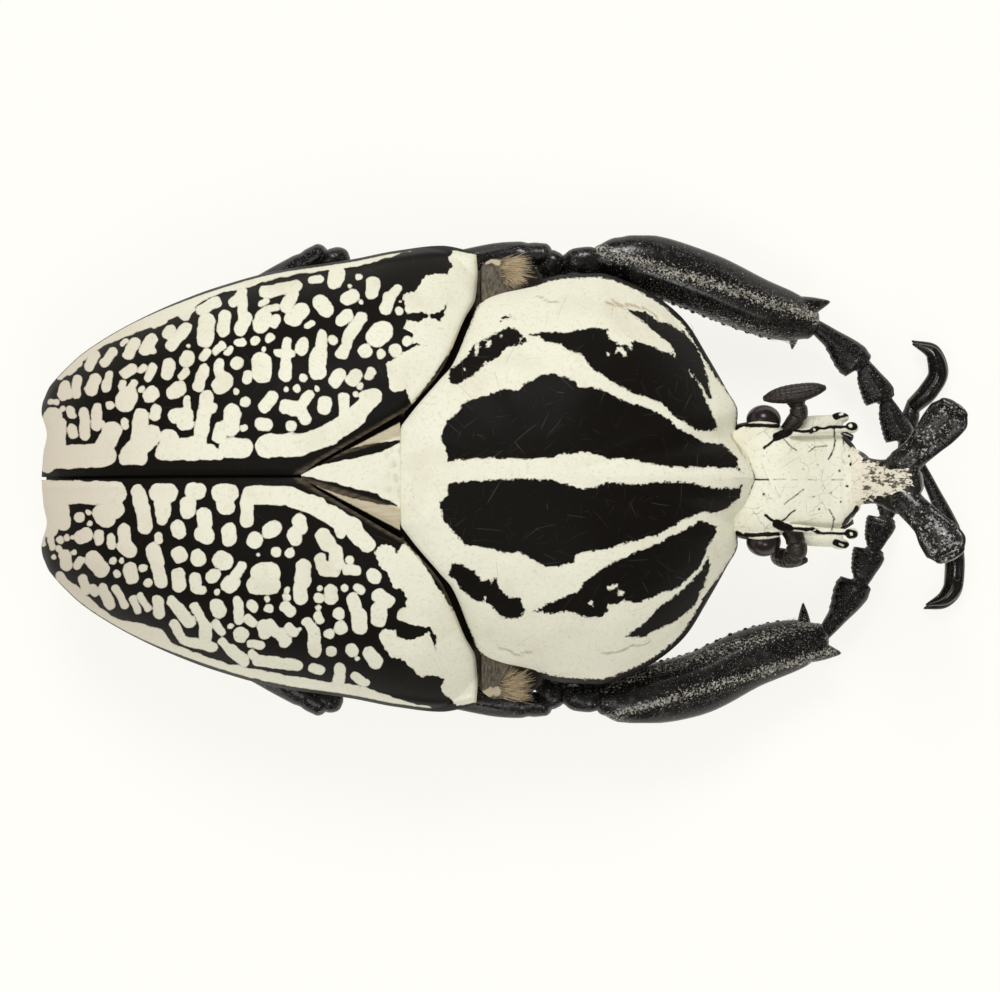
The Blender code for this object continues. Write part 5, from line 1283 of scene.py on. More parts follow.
def sheet(steps: tuple[int, int], place: Place) -> Sculpt:
    """An open sheet shaped from a grid, its faces turned upwards.

    Args:
        steps: faces along and across.
        place: gives points for shares along, from 0 to 1, and across, from -1 to 1.

    Returns:
        The sheet.
    """
    sculpt = Sculpt()
    bmesh.ops.create_grid(sculpt.bm, x_segments=steps[0], y_segments=steps[1], size=0.5)
    spots = np.array([vertex.co for vertex in sculpt.bm.verts])
    for vertex, point in zip(sculpt.bm.verts, place(spots[:, 0] + 0.5, spots[:, 1] * 2.0)):
        vertex.co = point
    sculpt.bm.normal_update()
    if sum(face.normal.z for face in sculpt.bm.faces) < 0.0:
        bmesh.ops.reverse_faces(sculpt.bm, faces=sculpt.bm.faces)
    return sculpt


@dataclass
class WingCase:
    """One wing case: a curved shell with a raised rim, a shoulder knob and a knob near its end.

    A rim is its height, its distance from the edge and its width; a knob is its x, y, width and height.
    """

    side: Side
    material: bpy.types.Material
    steps: tuple[int, int] = (290, 145)
    edge_drop: float = 0.5
    edge_reach: float = 0.8
    edge_points: int = 90
    crowding: float = 0.9
    rim: Station = (0.28, 0.75, 0.35)
    rim_fade: tuple[float, float] = (-38.0, -31.0)
    seam_rim: Station = (0.1, 0.7, 0.4)
    seam_from: tuple[float, float] = (20.0, 24.0)
    dent: tuple[float, float] = (0.035, 4.5)
    spread: float = 0.035
    torn: float = 0.09
    shoulder: Station = (-8.4, 17.4, 1.9, 0.5)
    end_knob: Station = (-41.0, 8.6, 2.2, 0.45)

    def __post_init__(self) -> None:
        """Lay the four edges of the outline."""
        self.front, self.apex = Path(ELYTRON_FRONT), Path(ELYTRON_APEX)
        self.inner = Path([ELYTRON_FRONT[0], SCUTELLUM_EDGE, SCUTELLUM_TIP, (-33.0, 0.16), ELYTRON_APEX[0]])
        self.outer = Path([ELYTRON_FRONT[-1]] + list(reversed(ELYTRA_WIDTH[2:-2])) + [ELYTRON_APEX[-1]])

    def outline(self, along: Array, across: Array) -> Array:
        """Points of the plan for shares along and across the shell."""
        share = across[:, None]
        points = self.inner.at(along) * (1.0 - share) + self.outer.at(along) * share
        for edge, near in ((self.front, 1.0 - along), (self.apex, along)):
            chord = edge.at(0.0) * (1.0 - share) + edge.at(1.0) * share
            points += (edge.at(across) - chord) * near[:, None] ** 3
        return points

    def shape(self, along: Array, spread: Array) -> Array:
        """Points of the shell's upper skin."""
        across = np.sin((spread + 1.0) * math.pi / 4) ** self.crowding
        points = self.outline(along, across)
        x, y = points.T
        z = shell_height(x, y)
        shares = np.linspace(0.0, 1.0, self.edge_points)
        ends = np.ones_like(shares)
        edges = {
            "inner": self.outline(shares, 0.0 * ends), "outer": self.outline(shares, ends),
            "front": self.outline(0.0 * shares, shares), "apex": self.outline(ends, shares),
        }
        away = {name: in_band(points, [(*spot, 0.0) for spot in edge]) * -1.0 for name, edge in edges.items()}
        drop = np.zeros_like(z)
        for name, gain in EDGE_GAINS.items():
            near = np.clip(1.0 - away[name] / self.edge_reach, 0.0, 1.0)
            drop = np.maximum(drop, self.edge_drop * gain * near**2)
        z -= drop
        for name, (high, inset, wide), fade in (
                ("outer", self.rim, rise(x, *self.rim_fade)),
                ("inner", self.seam_rim, rise(-x, *self.seam_from))):
            z += high * hump(away[name], inset, wide) * fade
        for knob_x, knob_y, wide, high in (self.shoulder, self.end_knob):
            z += high * np.exp(-((x - knob_x) ** 2 + (y - knob_y) ** 2) / wide**2)
        high, length = self.dent
        z += high * waves(points, length, self.side.value)
        return np.stack((x, y * self.side.value, z), axis=-1)

    def marks(self, points: Array) -> Array:
        """Distances inside the cream markings."""
        flat = wavered(plan(points))
        left = self.side is Side.LEFT
        cream = in_spots(flat, LEFT_SPOTS if left else RIGHT_SPOTS)
        cream = joined(cream, in_band(flat, LEFT_BAND if left else RIGHT_BAND))
        torn = flat + np.stack((waves(flat, 0.55, 5.0), waves(flat, 0.5, 6.0)), axis=-1) * self.torn
        cream = joined(cream, in_area(torn, LEFT_FIELD if left else RIGHT_FIELD)) + self.spread
        half = eased(ELYTRA_WIDTH, points[:, 0])
        rim = 0.12 + 0.22 * rise(points[:, 0], -39.0, -30.0)
        return np.minimum(cream, half - np.abs(points[:, 1]) - rim)

    def tones(self, points: Array) -> Array:
        """The brown of the raised edge along the scutellum and of the front edge."""
        flat = points[:, :2] * (1.0, self.side.value)
        seam = in_band(flat, [(*ELYTRON_FRONT[0], 0.0), (*SCUTELLUM_EDGE, 0.0), (*SCUTELLUM_TIP, 0.0)])
        front = in_band(flat, [(*spot, 0.0) for spot in ELYTRON_FRONT])
        return np.maximum(rise(seam, -0.42, -0.16), 0.8 * rise(front, -0.26, -0.1))

    def build(self) -> None:
        """Build and dress the shell."""
        name = "elytron_" + self.side.word
        item = walled(sheet(self.steps, self.shape).item(name), ELYTRON_THICK)
        points = places(item.data)
        half = eased(ELYTRA_WIDTH, points[:, 0]) + 0.02
        points[:, 1] = np.clip(points[:, 1], -half, half)
        put(item, points)
        finish_piece(item, Slot.SHELL, self.material, name, marks=self.marks, tones=self.tones)


@dataclass
class Scutellum:
    """The three-cornered plate between the bases of the wing cases."""

    material: bpy.types.Material
    steps: tuple[int, int] = (90, 64)
    edge_drop: float = 0.3
    dip: float = 0.3

    def shape(self, along: Array, across: Array) -> Array:
        """Points of the plate's upper skin."""
        base_y = SCUTELLUM_BASE[1]
        x = SCUTELLUM_FRONT + (SCUTELLUM_TIP[0] + 0.4 - SCUTELLUM_FRONT) * along
        y = across * base_y * (1.0 - along * 0.96)
        hollow = self.dip * (1.0 - across**2)
        dip = (hollow + self.edge_drop * rise(np.abs(across), 0.86, 1.0)) * (1.0 - along) ** 2
        return np.stack((x, y, shell_height(x, y) - 0.3 - dip), axis=-1)

    def marks(self, points: Array) -> Array:
        """Distances inside the cream middle and the cream wedges beside its black stripes."""
        flat = wavered(plan(points))
        black = np.full(len(points), -9.0)
        for stripe in SCUTELLUM_STRIPES:
            black = joined(black, in_area(flat, stripe))
        edge = (self.half(points[:, 0]) - np.abs(points[:, 1])) * 0.9
        return np.minimum(-black, edge - 0.06)

    def half(self, x: Array) -> Array:
        """Half width of the plate along X."""
        along = (x - SCUTELLUM_FRONT) / (SCUTELLUM_TIP[0] + 0.4 - SCUTELLUM_FRONT)
        return SCUTELLUM_BASE[1] * (1.0 - along * 0.96)

    def tones(self, points: Array) -> Array:
        """The tan of the two outer wedges, and a stain at the base."""
        x, y, _ = points.T
        line = 0.2 + (x + 20.4) * 0.32
        stain = 0.4 * rise(x, -12.6, -11.0) * rise(waves(points, 1.1, 2.0), -0.2, 0.9)
        return np.maximum(rise(np.abs(y - 0.4), line, line + 0.3), stain)

    def build(self) -> None:
        """Build and dress the plate."""
        item = walled(sheet(self.steps, self.shape).item("scutellum"), SCUTELLUM_THICK)
        finish_piece(item, Slot.SHELL, self.material, "scutellum", marks=self.marks, tones=self.tones)


@dataclass
class Shield:
    """The first ring of the body: the domed, striped shield with its rim, and the underside."""

    material: bpy.types.Material
    rows: tuple[int, int] = (120, 52)
    sides: int = 280
    bead: float = 0.32
    gutter: float = 0.45
    bead_front: tuple[float, float] = (-23.5, -20.0)
    bead_rear: tuple[float, float] = (0.0, 4.0)
    crowding: float = 0.9
    fall: tuple[float, float] = (2.0, 0.4)
    bulge: tuple[float, float] = (0.7, 0.08)
    flare: tuple[float, float, float] = (0.85, 0.5, 0.7)
    keel_power: float = 1.15
    dent: tuple[float, float] = (0.04, 5.0)
    dent_reach: float = 0.97
    cream_under: float = 0.4

    def shape(self, row: Array, angle: Array) -> Array:
        """Points of the skin, from the crown over the rim to the keel."""
        top_rows, bottom_rows = self.rows
        share = np.abs(angle) / math.pi
        rim_x, rim_y = Path(PROTHORAX_OUTLINE).at(share).T
        crown_x, crown_z = PROTHORAX_CROWN
        rim_z = eased(PROTHORAX_RIM, rim_x)
        aside = np.sin(angle) ** 2
        up = np.clip(row / top_rows, 0.0, 1.0)
        reach = np.sin(up * math.pi / 2) ** self.crowding
        fall = self.fall[0] + self.fall[1] * aside
        bulge = self.bulge[0] - self.bulge[1] * aside
        z = rim_z + (crown_z - rim_z) * (1.0 - reach**fall) ** bulge
        away = (1.0 - reach) * np.hypot(rim_x - crown_x, rim_y)
        window = rise(rim_x, *self.bead_rear) * rise(-rim_x, *self.bead_front)
        z += self.bead * window * (hump(away, 0.3, 0.28) - self.gutter * hump(away, 0.95, 0.35))
        turn = np.clip((row - top_rows) / (bottom_rows + 1), 0.0, 1.0) * math.pi / 2
        flare, less, start = self.flare
        flare = flare - less * np.maximum(0.0, (share - start) / 0.3)
        under = np.maximum(np.cos(turn), 0.0) ** flare
        below = rim_z - (rim_z - PROTHORAX_KEEL) * np.sin(turn) ** self.keel_power
        lower = row > top_rows
        reach, z = np.where(lower, under, reach), np.where(lower, below, z)
        x = crown_x + (rim_x - crown_x) * reach
        y = np.copysign(rim_y * reach, angle)
        points = np.stack((x, y, z), axis=-1)
        high, length = self.dent
        points[:, 2] += np.where(lower, 0.0, high * waves(points, length, 1.0) * (reach < self.dent_reach))
        return points

    def marks(self, points: Array) -> Array:
        """Distances inside the cream; the black stripes, the side rims and the underside are left out."""
        flat = wavered(plan(points), 0.07)
        black = np.full(len(points), -9.0)
        for stripe in SHIELD_STRIPES:
            black = joined(black, in_area(flat, stripe))
        black = np.minimum(black, -in_spots(flat, SHIELD_DOTS))
        rim = Path(PROTHORAX_OUTLINE).at(np.linspace(0.0, 1.0, 120))
        outline = [tuple(spot) for spot in rim] + [(spot[0], -spot[1]) for spot in rim[::-1]]
        inside = in_area(points[:, :2], outline)
        x = points[:, 0]
        outline = 0.42 * rise(x, 0.5, 3.0) * rise(-x, -22.5, -20.0) + 0.4 * rise(x, -8.0, -2.0) - 0.3
        cream = np.minimum(-black, inside - outline)
        return np.where(points[:, 2] < eased(PROTHORAX_RIM, x) - self.cream_under, -1.0, cream)

    @staticmethod
    def tones(points: Array) -> Array:
        """The brown of the folds in the cream."""
        flat = wavered(plan(points), 0.1)
        near = np.max([in_band(flat, fold) for fold in SHIELD_FOLDS], axis=0)
        return rise(near, -0.1, 0.0) * (points[:, 2] > SHIELD_FOLDS_OVER)

    def build(self) -> bpy.types.Object:
        """Build and dress the shield."""
        sculpt = Sculpt()
        sculpt.wrap(sum(self.rows), self.sides, self.shape)
        item = sculpt.item("prothorax")
        return finish_piece(item, Slot.SHELL, self.material, "prothorax", marks=self.marks, tones=self.tones)


@dataclass
class Trunk:
    """A length of the hind body: its back fits under the shells, its belly arches down to the keel."""

    name: str
    span: tuple[float, float]
    slot: Slot
    material: bpy.types.Material
    rows: int = 90
    sides: int = 110
    grooves: tuple[float, ...] = ()
    round_rear: bool = False
    pale: tuple[Station, ...] = ((0.0, 99.0, 0.1),)
    pale_over: float = 14.9

    def shape(self, row: Array, angle: Array) -> Array:
        """Points of the skin."""
        first, last = self.span
        share = (np.clip(row, 1, self.rows) - 1) / (self.rows - 1)
        x = first + (last - first) * share
        closing = np.sin(share * math.pi / 2) ** 0.4 if self.round_rear else np.ones_like(x)
        wide = (eased(ELYTRA_WIDTH, x) - UNDER_SHELL + eased(SHOULDER_WIDTH, x)) * closing
        keel = eased(TRUNK_KEEL, x)
        for edge in self.grooves:
            cut = hump(x, edge, 0.3) * STERNITE_STEP
            keel, wide = keel + cut, wide - cut / 2
        ahead = x > SHELL_END
        height = np.where(ahead, back_height(x, wide), shell_height(x, wide))
        waist = np.minimum(eased(ELYTRA_MARGIN, x) + 0.9, height - UNDER_SHELL - 0.5)
        cosine, sine = np.cos(angle), np.sin(angle)
        upper = sine >= -1e-6
        y = signed_power(cosine, 0.8) * wide
        top = np.where(ahead, back_height(x, y), shell_height(x, y))
        above = waist + (top - UNDER_SHELL - waist) * np.maximum(sine, 0.0) ** 0.4 * closing
        below = waist - (waist - keel) * np.abs(sine) ** 0.9 * closing
        seam = 0.35 * hump(y, 0.0, 0.35) * (np.abs(sine) > 0.5) * (x > -16.3)
        below = below + seam
        y = np.where(upper, y, signed_power(cosine, 0.9) * wide)
        points = np.stack((x, y, np.where(upper, above, below)), axis=-1)
        pole = (row < 0.5) | (row > self.rows + 0.5)
        points[pole, 1] = 0.0
        points[pole, 2] = ((waist + keel) / 2)[pole]
        return points

    def marks(self, points: Array) -> Array:
        """Distances inside the few pale spots."""
        spots = in_spots(wavered(plan(points), 0.12), self.pale)
        return np.minimum(spots, points[:, 2] - self.pale_over)

    @staticmethod
    def tones(points: Array) -> Array:
        """The brown of the side plates behind the shield."""
        x, y, z = points.T
        return rise(-x, -1.8, 0.4) * rise(np.abs(y), 16.0, 18.0) * rise(z, 9.0, 12.0)

    def build(self) -> bpy.types.Object:
        """Build and dress the length."""
        sculpt = Sculpt()
        sculpt.wrap(self.rows, self.sides, self.shape)
        return finish_piece(sculpt.item(self.name), self.slot, self.material, self.name, marks=self.marks,
                            tones=self.tones)


@dataclass
class Head:
    """The head: a flat box with side ridges, beads, knobs at the front and side lobes."""

    material: bpy.types.Material
    eye: bpy.types.Material
    chitin: bpy.types.Material
    grain: float = 0.13
    socket: Station = (27.9, 4.9, 0.55, 0.55)
    recess: Station = (32.6, 1.3, 0.15)
    crown: Station = (29.5, 3.0, 1.8, 0.25)
    furrow: Station = (-0.15, 0.12, 0.12)
    cream_over: float = 14.6
    ridge: tuple[Station, ...] = ((27.6, 4.6, 19.1, 0.35, 0.35), (29.6, 4.8, 19.15, 0.38, 0.38),
                                  (32.2, 5.1, 18.5, 0.38, 0.38), (34.4, 5.2, 17.7, 0.35, 0.35))
    brow: tuple[Station, ...] = ((23.4, 5.2, 17.6, 0.35, 0.5), (25.6, 5.55, 18.3, 0.42, 0.45),
                                 (27.5, 5.3, 18.3, 0.35, 0.4))
    lobe: tuple[Station, ...] = ((29.0, 4.6, 15.4, 0.9, 1.2), (30.4, 5.5, 15.6, 1.0, 1.1),
                                 (33.6, 5.75, 15.6, 0.9, 0.9))
    knobs: tuple[tuple[Station, Station], ...] = (
        ((31.1, 5.05, 18.85), (0.5, 0.45, 0.42)), ((34.7, 5.3, 17.3), (0.7, 0.6, 0.7)),
        ((33.6, 6.35, 15.9), (0.95, 0.55, 0.65)))

    def build_box(self) -> None:
        """Build and dress the head itself."""
        box = [(x, HEAD_MIDDLE, (high + low) / 2, wide, (high - low) / 2)
               for x, wide, high, low in HEAD_SECTIONS]
        sculpt = Sculpt()
        sculpt.bar(box, 60, 60, square=0.55, cap=0.1)
        sculpt.bar(HEAD_FRONT, 48, 40, square=0.8, cap=0.1)
        for side in Side:
            sign = side.value
            sculpt.bar(mirrored(self.ridge, sign, HEAD_MIDDLE), 16, 24)
            sculpt.bar(mirrored(self.brow, sign, HEAD_MIDDLE), 16, 20)
            sculpt.bar(mirrored(self.lobe, sign, HEAD_MIDDLE), 24, 24)
            for centre, radii in self.knobs:
                sculpt.ball(mirrored([centre], sign, HEAD_MIDDLE)[0], radii)
        item = fused(sculpt.item("head"), self.grain, 8)
        points = places(item.data)
        x, y, z = points.T
        top = rise(z, 15.5, 17.5)
        aside = np.abs(y - HEAD_MIDDLE)
        recess_x, wide, deep = self.recess
        z -= deep * hump(x, recess_x, wide) * rise(-aside, -4.4, -2.6) * top
        socket_x, socket_y, reach, deep = self.socket
        z -= deep * np.exp(-((x - socket_x) ** 2 + (aside - socket_y) ** 2) / reach) * top
        crown_x, long, wide, high = self.crown
        z += high * hump(aside, 0.0, wide) * hump(x, crown_x, long) * top
        furrow_y, wide, deep = self.furrow
        z -= deep * hump(y, furrow_y, wide) * rise(-x, -27.0, -25.5) * top
        put(item, points)
        finish_piece(item, Slot.SHELL, self.material, "head", marks=self.marks)

    def marks(self, points: Array) -> Array:
        """Distances inside the cream; lines, sockets, knobs and the underside are dark."""
        flat = wavered(plan(points), 0.06)
        dark = np.minimum(in_spots(flat, HEAD_LINES), -in_spots(flat, HEAD_GLINTS))
        return np.minimum(-dark, points[:, 2] - self.cream_over)

    def build_eyes(self) -> None:
        """Build and dress the two eyes."""
        for side in Side:
            sculpt = Sculpt()
            sculpt.ball(mirrored([EYE_PLACE], side.value, HEAD_MIDDLE)[0], EYE_SIZE, 80, 48)
            name = "eye_" + side.word
            finish_piece(sculpt.item(name), Slot.EYE, self.eye, name)

    def build_mouth(self) -> None:
        """Build and dress the chin plate and the palps."""
        sculpt = Sculpt()

        def plate(share: Array, angle: Array) -> Array:
            folds = hump(np.abs(np.cos(angle)), 0.55, 0.2) * (np.sin(angle) < 0.0)
            return -0.25 * folds - 0.12 * hump(share, 0.7, 0.05)

        def rings(share: Array, _: Array) -> Array:
            return -0.14 * (hump(share, 0.33, 0.03) + hump(share, 0.62, 0.03))

        sculpt.bar(CHIN, 48, 60, square=0.8, relief=plate)
        for side in Side:
            stations = mirrored(PALP, side.value)
            sculpt.bar(stations, 20, 48, relief=rings)
        finish_piece(sculpt.item("mouthparts"), Slot.CHITIN, self.chitin, "mouthparts")

    def build(self) -> None:
        """Build the head and what belongs to it."""
        self.build_box()
        self.build_eyes()
        self.build_mouth()


@dataclass
class Feeler:
    """One feeler: a bent stalk of short joints and a club of three leaves."""

    side: Side
    stalk: bpy.types.Material
    leaf_gap: float = 0.3
    leaf_size: tuple[float, float] = (0.66, 0.86)
    leaf_stations: int = 13
    almond: float = 0.55
    tip: float = 0.12

    def build(self) -> None:
        """Build and dress the feeler."""
        word = self.side.word
        sculpt = Sculpt()

        def joints(share: Array, _: Array) -> Array:
            return 0.12 - 0.14 * sum(hump(share, cut, 0.03) for cut in (0.45, 0.72, 0.88))

        def grooves(share: Array, _: Array) -> Array:
            return 0.02 * np.sin(share * 70.0) * hump(share, 0.5, 0.3)

        sculpt.bar(ANTENNA_STALKS[word], 28, 80, relief=joints)
        form = Bar(ANTENNA_CLUBS[word])
        shares = np.linspace(0.0, 1.0, self.leaf_stations)
        swell = np.maximum(np.sin(math.pi * (0.04 + 0.92 * shares)), 0.0) ** self.almond
        _, _, across, above = form.frames(np.array([0.5]))
        for number in (-1.0, 0.0, 1.0):
            spread = (across + above * 0.3) * number * self.leaf_gap * swell[:, None]
            spots = form.path.at(shares) + spread
            wide, deep = self.leaf_size
            sizes = np.stack((wide * swell, (deep - 0.1 * abs(number)) * swell), axis=-1)
            leaf = np.concatenate((spots, np.maximum(sizes, self.tip)), axis=1)
            sculpt.bar([tuple(station) for station in leaf], 28, 70, cap=0.9, relief=grooves)
        name = "antenna_" + word
        finish_piece(sculpt.item(name), Slot.CHITIN, self.stalk, name)


@dataclass
class Horn:
    """The forked horn: the stem and the two dished arms."""

    stem: bpy.types.Material
    arm: bpy.types.Material
    cream_half: tuple[Station, ...] = (
        (34.0, 4.4), (35.0, 3.0), (36.2, 2.0), (37.2, 1.75), (38.5, 1.8), (40.0, 1.7), (41.5, 1.2))
    cream_middle: float = -0.3
    cream_end: float = 40.6
    cream_low: float = 15.6
    dish_depth: float = 0.45
    dish_edge: float = 0.45
    dish_start: tuple[float, float] = (40.6, 42.0)
    # Densities of pale specks painted in the dishes as highlights and on the fork as reflections.
    dish_highlights: float = 0.5
    fork_highlights: float = 0.25

    @staticmethod
    def stem_relief(_: Array, angle: Array) -> Array:
        """A raised ridge on each side of a flat top."""
        return 0.14 * hump(np.abs(np.cos(angle)), 0.8, 0.15) * (np.sin(angle) > 0.0)

    def arm_relief(self, share: Array, angle: Array) -> Array:
        """A dish in the upper face, inside a smooth round edge."""
        dish = rise(np.sin(angle), 0.3, 0.85) * rise(share, 0.3, 0.55) * rise(-share, -1.0, -0.9)
        return -self.dish_depth * dish + 0.08 * hump(np.sin(angle), 0.2, 0.3)

    def stem_marks(self, points: Array) -> Array:
        """Distances inside the cream: black sides, and black from the fork on."""
        x, y = plan(points).T
        inside = eased(self.cream_half, x) - np.abs(y - self.cream_middle)
        front = (self.cream_end - x) * 0.8
        above = (points[:, 2] - self.cream_low) * 0.8
        least = np.minimum(np.minimum(inside, front), above)
        return least * 1.6 + 0.1 - 0.3 * rise(x, 35.5, 38.0) + 1.2 * rise(-x, -36.0, -34.6)

    def build(self) -> None:
        """Build and dress the horn."""
        sculpt = Sculpt()
        sculpt.bar(HORN_STEM, 72, 90, square=0.8, cap=0.1, relief=self.stem_relief)
        finish_piece(sculpt.item("horn_stem"), Slot.SHELL, self.stem, "horn_stem", marks=self.stem_marks)
        for side in Side:
            sculpt = Sculpt()
            sculpt.bar(HORN_ARMS[side.word], 64, 100, square=0.85, cap=0.9, relief=self.arm_relief)
            name = "horn_arm_" + side.word
            finish_piece(sculpt.item(name), Slot.CHITIN, self.arm, name, tones=self.arm_highlights)

    def arm_highlights(self, points: Array) -> Array:
        """Density of the pale specks painted in the dishes of the arms as highlights and on the fork as
        reflections.
        """
        bands = [[(*station[:2], station[3] - self.dish_edge) for station in arm[2:]]
                 for arm in HORN_ARMS.values()]
        dish = np.max([in_band(points[:, :2], band) for band in bands], axis=0)
        x = points[:, 0]
        return self.dish_highlights * rise(dish, -0.1, 0.25) * rise(x, *self.dish_start) \
            + self.fork_highlights * hump(x, self.dish_start[0], 0.8)


@dataclass
class Leg:
    """One leg from hip to claws."""

    pair: str
    side: Side
    chitin: bpy.types.Material
    smooth: bpy.types.Material
    denticles: int = 30
    denticle_radius: float = 0.3
    saw_teeth: int = 6
    saw_depth: float = 0.13
    lobe_edge: float = 5.0

    def __post_init__(self) -> None:
        """Take the pose of this leg."""
        front = self.pair == "front"
        self.pose = FRONT_LEGS[self.side.word] if front else (MID_LEG if self.pair == "mid" else HIND_LEG)
        self.mirror = 1.0 if front else self.side.value
        self.inner = self.side.value if front else -self.side.value
        self.scale = CLAW_SCALE[self.pair]

    def dress(self, sculpt: Sculpt, length: str, material: bpy.types.Material,
              tones: Read | None = None) -> None:
        """Finish one length of the leg, levelled where it rests on the floor."""
        name = f"leg_{self.pair}_{self.side.word}_{length}"
        item = sculpt.item(name)
        points = places(item.data)
        points[:, 2] = np.maximum(points[:, 2], 0.0)
        put(item, points)
        finish_piece(item, Slot.CHITIN, material, name, tones=tones)

    def build_hip(self) -> None:
        """Build the hip, a plump oval."""
        (x, y, z), radii = COXAE[self.pair]
        sculpt = Sculpt()
        sculpt.ball((x, y * self.side.value, z), radii, 56, 36)
        self.dress(sculpt, "coxa", self.chitin)

    def build_thigh(self) -> None:
        """Build the thigh, with a groove below and a ring at the knee."""
        start, knee, wide, deep = FEMORA[self.pair]
        shift = KNEE_SHIFT[self.side.word] if self.pair == "hind" else 0.0
        first, last = np.array(start), np.array(knee) + (shift, 0.0, 0.0)
        thigh = [(*(first + (last - first) * share), wide * a, deep * b) for share, a, b in THIGH_SWELL]

        def relief(share: Array, angle: Array) -> Array:
            groove = -0.25 * hump(np.sin(angle), -0.9, 0.25) * rise(share, 0.3, 0.6)
            return groove + 0.1 * hump(share, 0.955, 0.03) - 0.1 * hump(share, 0.9, 0.022)

        sculpt = Sculpt()
        sculpt.bar(mirrored(thigh, self.side.value), 48, 90, cap=0.95, relief=relief)
        if self.pair == "front":
            centre, radii = KNEE_BACK
            sculpt.bar(mirrored(FRONT_KNEE, self.side.value), 48, 60, square=0.85, cap=0.6)
            sculpt.ball(mirrored([centre], self.side.value)[0], radii, 40, 28)
        self.dress(sculpt, "femur", self.chitin)

    def build_shin(self) -> None:
        """Build the shin with its teeth and the spurs at its end, and the saw of a front shin."""
        stations = mirrored(self.pose["shin"], self.mirror)

        def relief(share: Array, angle: Array) -> Array:
            keel = 0.16 * hump(np.sin(angle), 0.92, 0.1) + 0.12 * hump(np.abs(np.cos(angle)), 1.0, 0.12)
            return keel * rise(share, 0.1, 0.3) * rise(-share, -0.98, -0.85) - 0.12 * hump(share, 0.09, 0.025)

        sculpt = Sculpt()
        sculpt.bar(stations, 56, 120, cap=0.7, relief=relief)
        form = Bar(stations)
        for root, tip, radius in self.pose["teeth"]:
            ends = mirrored([root, tip], self.mirror)
            sculpt.thorn(*ends, radius, (0.0, 0.0, 0.12), 20)
        if self.pair == "front":
            angle = 0.0 if self.inner > 0.0 else math.pi
            for number, share in enumerate(np.linspace(0.26, 0.84, self.denticles)):
                lift = (0.16, -0.12, 0.02)[number % 3]
                out = 0.16 + 0.1 * math.sin(number * 2.4)
                spot = form.skin(share, angle + lift, out - 0.24)[0]
                sculpt.ball(spot, (self.denticle_radius,) * 3, 12, 8)
        self.dress(sculpt, "tibia", self.chitin, self.specks if self.pair == "front" else None)

    def specks(self, points: Array) -> Array:
        """Density of the pale specks painted along a front shin as its highlight bands."""
        first, last = (np.array(self.pose["shin"][end][:2]) for end in (0, -1))
        way = (last - first) / np.linalg.norm(last - first)
        aside = (points[:, :2] - first) @ (-way[1], way[0]) * self.side.value
        return sum(dense * hump(aside, middle, reach) for middle, reach, dense in SHIN_HIGHLIGHTS[self.side.word])

    def build_foot(self) -> None:
        """Build the five joints of the foot, the first four each with a saw-edged lobe on its inner far
        corner.
        """
        joints = [np.array(joint) for joint in mirrored(self.pose["foot"], self.mirror)]
        sculpt = Sculpt()
        for number, (near, far) in enumerate(FOOT_JOINTS):
            root, end = joints[number], joints[number + 1]
            near, far = near * self.scale, far * self.scale
            stations = [(*(root + (end - root) * share), wide, deep) for share, wide, deep in (
                (-0.16, near, near * 0.9), (0.35, far * 0.72, far * 0.65), (0.8, far, far * 0.85),
                (1.0, far * 0.8, far * 0.7))]
            lobe = FOOT_LOBE * self.scale * (number < len(FOOT_JOINTS) - 1)
            start = 0.4 if number == 0 else 0.0
            sculpt.bar(stations, 48, 76, relief=lambda share, angle, lobe=lobe, start=start: self.lobed(
                share, angle, lobe, start))
        self.dress(sculpt, "tarsus", self.chitin)

    def lobed(self, share: Array, angle: Array, lobe: float, start: float) -> Array:
        """Relief of a joint of the foot: rings, and a flat lobe with a saw edge along its inner side.

        Args:
            share: shares of the joint's length.
            angle: angles round it.
            lobe: how far the lobe stands out.
            start: where the lobe starts along the joint.

        Returns:
            Heights over the plain joint.
        """
        inward = np.cos(angle) * self.inner
        saw = self.saw_depth * (1.0 - (share * self.saw_teeth / 0.6) % 1.0)
        ramp = rise(share, start, start + 0.45) * (0.7 + 0.3 * share) * rise(-share, -0.97, -0.9)
        blade = lobe * (ramp + saw * (ramp > 0.1)) * np.clip(inward, 0.0, 1.0) ** self.lobe_edge
        return 0.06 * hump(share, 0.9, 0.05) - 0.05 * hump(share, 0.2, 0.1) + blade

    def build_claws(self) -> None:
        """Build the two hooks, grooved along their sides."""
        hook = mirrored(self.pose["claw"], self.mirror)
        base = np.array(hook[0])
        inward, lift = UPPER_CLAW
        sculpt = Sculpt()

        def relief(share: Array, angle: Array) -> Array:
            return -0.16 * hump(np.sin(angle), 0.75, 0.2) * rise(share, 0.1, 0.3) * rise(-share, -0.95, -0.6)

        for shrink, up in ((1.0, 0.0), (inward, lift * self.scale)):
            stations = []
            for number, (point, radius) in enumerate(zip(hook, CLAW_RADII)):
                spot = base + (np.array(point) - base) * shrink
                spot[2] += up * min(number, 2) / 2
                stations.append((*spot, radius * self.scale, radius * self.scale))
            sculpt.bar(stations, 28, 60, relief=relief)
        self.dress(sculpt, "claws", self.smooth)

    def build(self) -> None:
        """Build and dress the whole leg."""
        self.build_hip()
        self.build_thigh()
        self.build_shin()
        self.build_foot()
        self.build_claws()


@dataclass(frozen=True)
class Patch:
    """An area of hair on a piece: where its rays start and run, and how its hairs lie.

    The tile is the corner and the size of the skin's unwrap in the coat's own map.
    """

    low: Station
    high: Station
    ray: Station
    way: Station
    count: int
    length: tuple[float, float]
    lift: float
    tile: Station


